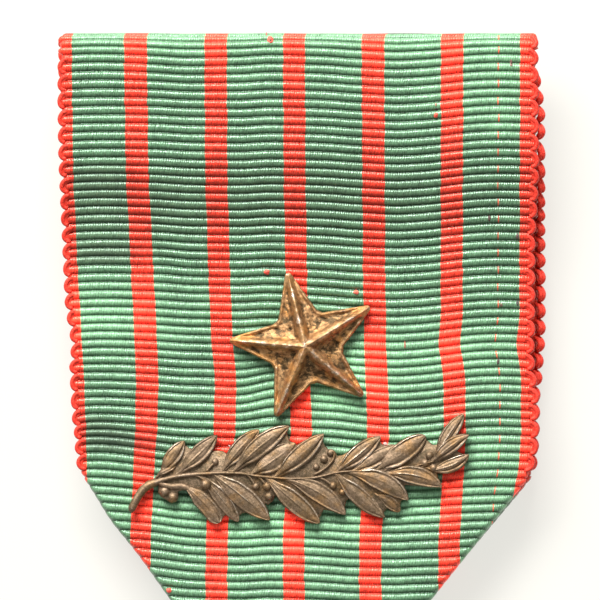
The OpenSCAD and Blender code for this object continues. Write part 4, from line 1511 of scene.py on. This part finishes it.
def add_plate(mesh):
    """The thin uneven plate between the leaves, with its edge rounded off."""
    steps = [(0.0, 0.03, 0), (-0.02, PLATE_T * 0.5, 0), (0.02, PLATE_T - 0.06, 0.3), (0.10, PLATE_T, 0.13)]
    rings = [[palm_point(x, y, z) for x, y in inset(PLATE, amount)] for amount, z, _ in steps]
    mesh.add_loft(rings, [wear for _, _, wear in steps])


# Thin stalks that carry the berries, and the broad arch over the berries at the stem's foot: places in
# pixels of the photograph and radius in millimetres
TWIGS = [
    [(314, 474.5, 0.1), (321, 471, 0.1), (329, 464.5, 0.1), (334, 457, 0.1), (334.6, 452.5, 0.1),
     (331, 450.3, 0.1)],
    [(206.5, 471, 0.11), (211, 466, 0.1), (215.5, 462, 0.1)],
    [(159, 482, 0.20), (165, 485.2, 0.25), (173, 486.4, 0.27), (181, 486, 0.27), (187, 487.6, 0.25),
     (191.5, 491, 0.2)],
    [(248, 475, 0.1), (252, 480, 0.1), (255, 485, 0.1)],
    [(256, 475, 0.1), (261.5, 479.5, 0.1), (265.5, 484.5, 0.1)],
    [(194, 474, 0.1), (201, 477.5, 0.1), (205.5, 481.5, 0.1)],
    [(318, 476.5, 0.1), (326, 480.5, 0.1), (331, 484.5, 0.1)],
]


def add_twigs(mesh):
    for twig in TWIGS:
        line = smooth_line([(x_of(a), PALM_DROP - drop_of(b), r) for a, b, r in twig], 14)
        add_tube(mesh, [palm_point(x, y, 0.64 - r) for x, y, r in line], line[:, 2], 8, 0.40)


def add_berry(mesh, x, y, r, lift=0.0):
    """A round berry on its short round foot."""
    top = LEAF_H + 0.02 + lift
    middle = BERRY_RINGS / 2
    points, wear = [], []
    for k in range(1, BERRY_RINGS):
        a = math.pi * k / BERRY_RINGS
        flare, z = math.sin(a), top - r + r * math.cos(a)
        if k >= middle:
            flare, z = max(flare, 0.95), (top - r) * (2 - k / middle)
        out = r * flare
        points += [palm_point(x + out * math.cos(b), y + out * math.sin(b), z) for b in circle(BERRY_SIDES)]
        # The top is worn brighter, and the lower half and foot take the recess colour: painted shade under
        # the berry, with patina.
        wear += [0.50 if k < 4 else 0.3 if k < 7 else 0.0] * BERRY_SIDES
    points += [palm_point(x, y, top), palm_point(x, y, 0.02)]
    mesh.add(points, flip(tipped_faces(BERRY_RINGS - 1, BERRY_SIDES)), wear + [0.56, 0.0])


def build_palm(material):
    mesh = Mesh("wear")
    add_plate(mesh)
    add_stem(mesh)
    for seed, leaf in enumerate(LEAVES):
        add_leaf(mesh, leaf, seed)
    for berry in BERRIES:
        add_berry(mesh, *berry)
    add_twigs(mesh)
    for side in (-1, 1):
        add_prong(mesh, side * PALM_PRONG_X, PALM_DROP)
    piece = mesh.piece("palm_cast", material)
    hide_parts("palm")


# Ring

JOINT = math.radians(208)
JOINT_HALF = 0.008
RING_STEPS, WIRE_SIDES = 128, 20


def build_ring(material):
    """A jump ring of round wire, with the fine line where its ends meet."""
    near_joint = [JOINT + a for a in (-0.02, -JOINT_HALF, 0.0, JOINT_HALF, 0.02)]
    angles = sorted(circle(RING_STEPS) + near_joint)
    points, wear = [], []
    for a in angles:
        gap = hump(a - JOINT, JOINT_HALF)
        for b in circle(WIRE_SIDES):
            worn = 1 + 0.008 * grain(math.cos(a), math.sin(a), 6, b)
            wire = WIRE_R * worn * (1 - 0.10 * gap)
            r = RING_R + wire * math.cos(b)
            x, up, z = r * math.cos(a), r * math.sin(a), wire * math.sin(b)
            points.append((x, RING_DROP + RING_R - up, RING_Z + z))
            wear.append((0.45 + 0.3 * abs(math.sin(b))) * (1 - gap))
    mesh = Mesh("wear")
    mesh.add(points, flip(grid_faces(len(angles), WIRE_SIDES, close_rows=True)), wear)
    piece = mesh.piece("ring_wire", material)
    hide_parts("ring")


# Cross

CROSS_W = (CROSS_HIGH.x - CROSS_LOW.x) / MM
CROSS_DROP = (TOP_Y - CROSS_LOW.y) / MM - CROSS_W / 2
BALL_R = (CROSS_HIGH.z - CROSS_LOW.z) / 2 / MM
BALL_DROP = (TOP_Y - CROSS_HIGH.y) / MM + BALL_R
BORE_R = 1.15
ARM_END_W, ARM_NECK_W, ARM_START = 15.0, 5.6, 4.5
ARM_LOW, ARM_TOP = 0.5, 2.5
BORDER_W, RELIEF = 0.8, 0.4
DISC_R, DISC_T = 7.0, 3.2
ARM_FIELD, DISC_FIELD = ARM_TOP - RELIEF, DISC_T - RELIEF
# The arm's section from its foot in to its field: how far in from its edge, height and wear
ARM_SECTION = [
    (0.25, ARM_LOW, 0.25), (0.12, ARM_LOW, 0.3), (0.03, ARM_LOW + 0.03, 0.5), (0.0, ARM_LOW + 0.12, 0.4),
    (0.0, ARM_TOP - 0.14, 0.4), (0.04, ARM_TOP - 0.03, 0.85), (0.14, ARM_TOP, 0.9),
    (0.35, ARM_TOP + 0.01, 0.6), (BORDER_W - 0.18, ARM_TOP, 0.8), (BORDER_W - 0.06, ARM_TOP - 0.05, 0.55),
    (BORDER_W, ARM_FIELD + 0.08, 0.1), (BORDER_W + 0.08, ARM_FIELD, 0.02),
    (BORDER_W + 0.4, ARM_FIELD, 0.25), (BORDER_W + 0.7, ARM_FIELD, 0.35),
]
# The round middle's section, from its foot in to its field: how far in from its edge, height and wear
DISC_SECTION = [
    (0.4, 0.0, 0.3), (0.15, 0.0, 0.5), (0.03, 0.05, 0.7), (0, 0.18, 0.4), (0, DISC_T - 0.2, 0.4),
    (0.05, DISC_T - 0.05, 0.8), (0.18, DISC_T, 0.9), (0.62, DISC_T, 0.85), (0.74, DISC_T - 0.05, 0.5),
    (BORDER_W, DISC_FIELD + 0.08, 0.05), (BORDER_W + 0.08, DISC_FIELD, 0.02),
    (BORDER_W + 0.4, DISC_FIELD, 0.25), (DISC_R - 4.5, DISC_FIELD, 0.35),
    (DISC_R - 2.0, DISC_FIELD, 0.35),
]
ARM_STEPS = 16
# The sword along Y: its blade from guard to point as place and half width, its guard's places across,
# and its pommel as radius, height and wear
SWORD_LOW, SWORD_TOP, SWORD_MIDDLE = 0.8, 2.0, 1.5
GUARD_Y, GUARD_HALF = -12, 0.34
KNOB_X, KNOB_HALF, KNOB_R = 1.95, 0.46, 0.5
BLADE = [
    (-12.0, 0.85), (0, 0.85), (8, 0.85), (14, 0.82), (16.2, 0.8), (17.2, 0.5), (17.75, 0.22), (18.0, 0.03),
]
GUARD = [-2.4, -2.36, -2.2, -1.95, -1.7, -1.45, -0.9, 0, 0.9, 1.45, 1.7, 1.95, 2.2, 2.36, 2.4]
GRIP_L, GRIP_R, GRIP_SWELL, BINDING_R = 4.0, 0.66, 0.12, 0.05
GRIP_STEPS, BINDING_STEPS = 44, 4.4
POMMEL_Y = -16.9
POMMEL = [
    (0.7, 0.8, 0.2), (1.05, 0.85, 0.4), (1.2, 1.1, 0.5), (1.2, 1.8, 0.5), (1.08, 2.1, 0.8), (0.8, 2.25, 0.8),
    (0.4, 2.3, 0.7),
]
BALL_STEPS, BALL_SIDES = 24, 40
# The neck between the ball and the upper arm: how far up from the arm's end, radius and wear
NECK = [
    (-0.3, 0.9, 0.3), (0.0, 0.9, 0.3), (0.08, 0.98, 0.8), (0.3, 0.98, 0.8), (0.38, 0.84, 0.3),
    (0.8, 0.8, 0.3), (1.15, 0.85, 0.3), (1.2, 0.85, 0.3),
]


def turned(points, angle):
    """Points round the cross's centre, turned by an angle in degrees, as x, drop and z."""
    c, s = math.cos(math.radians(angle)), math.sin(math.radians(angle))
    return [(x * c - y * s, CROSS_DROP - (x * s + y * c), z) for x, y, z in points]


def oval(y, half_x, half_z, count):
    """A ring of points across the sword's line at a place along it."""
    return [(half_x * math.cos(a), y, SWORD_MIDDLE + half_z * math.sin(a)) for a in circle(count)]


def arm_outline(inset_by, z):
    """One arm along Y, drawn in from its edge."""
    full = CROSS_W / 2 - ARM_START
    side = []
    for i in range(ARM_STEPS + 1):
        out = (full - inset_by) * i / ARM_STEPS
        half = (ARM_NECK_W + (ARM_END_W - ARM_NECK_W) * (out / full) ** 1.4) / 2
        side.append((half - inset_by, ARM_START + out))
    half, end = side[-1]
    ends = [(half * q, end) for q in (0.98, 0.5, 0.0, -0.5, -0.98)]
    return [(x, y, z) for x, y in side + ends + [(-a, b) for a, b in reversed(side)]]


def add_arm(mesh, angle):
    rings = [turned(arm_outline(inset_by, z), angle) for inset_by, z, _ in ARM_SECTION]
    mesh.add_loft(rings, [wear for _, _, wear in ARM_SECTION])


def add_round(mesh, y, profile, sides=24, angle=0.0):
    """A round form about an upright axis, from radius, height and wear, lowest first."""
    rings = [[(r * math.cos(a), y + r * math.sin(a), z) for a in circle(sides)] for r, z, _ in profile]
    mesh.add_loft([turned(ring, angle) for ring in rings], [wear for _, _, wear in profile])


def blade_ring(y, half):
    """The blade's section, with its slim ridge, from one edge's foot over the top to the other's."""
    ridge, edge = SWORD_TOP + 0.02 * min(1.0, half / 0.5), SWORD_TOP - 0.3
    side = [(-half, SWORD_LOW + 0.1), (-half, edge), (-half * 0.9, edge + 0.08), (-0.07, ridge)]
    foot = [(half * 0.8, SWORD_LOW), (-half * 0.8, SWORD_LOW)]
    return [(x, y, z) for x, z in side + [(-x, z) for x, z in reversed(side)] + foot]


def add_sword(mesh, angle):
    """A sword along Y: a blade with a ridge, a guard with round ends, a bound grip and a round pommel."""
    edge_wear = (0.2, 0.5, 0.75, 0.9, 0.9, 0.75, 0.5, 0.2, 0.2, 0.2)
    mesh.add_loft([turned(blade_ring(y, half), angle) for y, half in BLADE], [edge_wear] * len(BLADE))

    guard = []
    for x in GUARD:
        half = GUARD_HALF
        if abs(x) > KNOB_X - KNOB_HALF:
            half = KNOB_R * math.sqrt(max(0.02, 1 - ((abs(x) - KNOB_X) / KNOB_HALF) ** 2))
        ring = [(x, GUARD_Y + out, z) for out, _, z in oval(0, half, 1.5 * half, 16)]
        guard.append(turned(ring, angle))
    mesh.add_loft(guard, [0.6] * len(guard))

    grip, wear = [], []
    for i in range(GRIP_STEPS + 1):
        binding = math.cos(2 * math.pi * i / BINDING_STEPS)
        swell = GRIP_R + GRIP_SWELL * math.sin(math.pi * i / GRIP_STEPS) + BINDING_R * binding
        grip.append(turned(oval(GUARD_Y - 0.3 - GRIP_L * i / GRIP_STEPS, swell, 0.98 * swell, 16), angle))
        wear.append(0.35 + 0.4 * binding)
    mesh.add_loft(grip, wear)
    add_round(mesh, POMMEL_Y, POMMEL, angle=angle)


def add_ball(mesh):
    """The suspension ball, bored from side to side for the ring, and its neck."""
    edge = math.asin(BORE_R / BALL_R)
    profile = []
    for i in range(BALL_STEPS + 1):
        a = edge + 0.05 + (math.pi - 2 * edge - 0.1) * i / BALL_STEPS
        profile.append((BALL_R * math.cos(a), BALL_R * math.sin(a), 0.55 + 0.3 * math.sin(a)))
    end = BALL_R * math.cos(edge)
    mouth = [(end - 0.02, BORE_R + 0.02, 0.8), (end - 0.12, BORE_R - 0.01, 0.3)]
    profile += [(-x, r, wear) for x, r, wear in mouth] + [(0, BORE_R, 0.0)] + mouth[::-1]
    points, wear = [], []
    for x, r, worn in profile:
        points += [(x, BALL_DROP + r * math.cos(a), BALL_R + r * math.sin(a)) for a in circle(BALL_SIDES)]
        wear += [worn] * BALL_SIDES
    mesh.add(points, grid_faces(len(profile), BALL_SIDES, close_rows=True), wear)
    top = CROSS_DROP - CROSS_W / 2
    rings = [[(x, top - up, z) for x, _, z in oval(0, r, r, 20)] for up, r, _ in NECK]
    mesh.add_loft(rings, [worn for _, _, worn in NECK])


def build_cross(material):
    """Four arms, two crossed swords behind them, the round middle, and the ball on the upper arm."""
    mesh = Mesh("wear")
    for angle in (0, 90, 180, 270):
        add_arm(mesh, angle)
    for angle in (-45, 45):
        add_sword(mesh, angle)
    add_round(mesh, 0, [(DISC_R - inset_by, z, wear) for inset_by, z, wear in DISC_SECTION], sides=96)
    add_ball(mesh)
    piece = mesh.piece("cross_cast", material)
    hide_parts("cross")


# Brooch pin

BAR_T, BAR_BEVEL = 0.8, 0.15
FOOT_HALF_W, FOOT_HALF_L, FOOT_BEVEL = 0.7, 1.3, 0.18
NEEDLE_Z, NEEDLE_R = 0.75, 0.45


def build_pin(material):
    """A plain bar with two feet that hold a needle."""
    mesh = Mesh("wear")
    middle = ((PIN_LOW.x + PIN_HIGH.x) / 2 - MIDDLE_X) / MM
    drop = (TOP_Y - (PIN_LOW.y + PIN_HIGH.y) / 2) / MM
    half_l, half_w = (PIN_HIGH.x - PIN_LOW.x) / 2 / MM, (PIN_HIGH.y - PIN_LOW.y) / 2 / MM
    low, high = (middle - half_l, drop - half_w, PIN_TOP - BAR_T), (middle + half_l, drop + half_w, PIN_TOP)
    add_block(mesh, low, high, BAR_BEVEL, 0.5)
    ends = half_l - 2
    for x in (middle - ends, middle + ends):
        low = (x - FOOT_HALF_W, drop - FOOT_HALF_L, 0)
        high = (x + FOOT_HALF_W, drop + FOOT_HALF_L, PIN_TOP - BAR_T + 0.1)
        add_block(mesh, low, high, FOOT_BEVEL, 0.5)
    needle = [(-ends, NEEDLE_R), (2 - ends, NEEDLE_R), (ends - 7, NEEDLE_R), (ends - 3, 0.4), (ends, 0.3)]
    line = smooth_line([(middle + x, drop, r) for x, r in needle], 30)
    add_tube(mesh, [(x, d, NEEDLE_Z) for x, d, _ in line], line[:, 2], 16, 0.7)
    piece = mesh.piece("pin_steel", material)
    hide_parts("brooch_pin")


add_camera()
add_studio()

ribbon, loop = build_ribbon(silk_material())
picots = build_picots(loop, cord_material())
specks = build_specks(ribbon, speck_material())
build_star(bronze_material("star_bronze", **STAR_BRONZE))
build_palm(bronze_material("palm_bronze", **PALM_BRONZE))
build_ring(bronze_material("ring_bronze", **BRONZE))
build_cross(bronze_material("cross_bronze", **BRONZE))
build_pin(steel_material())
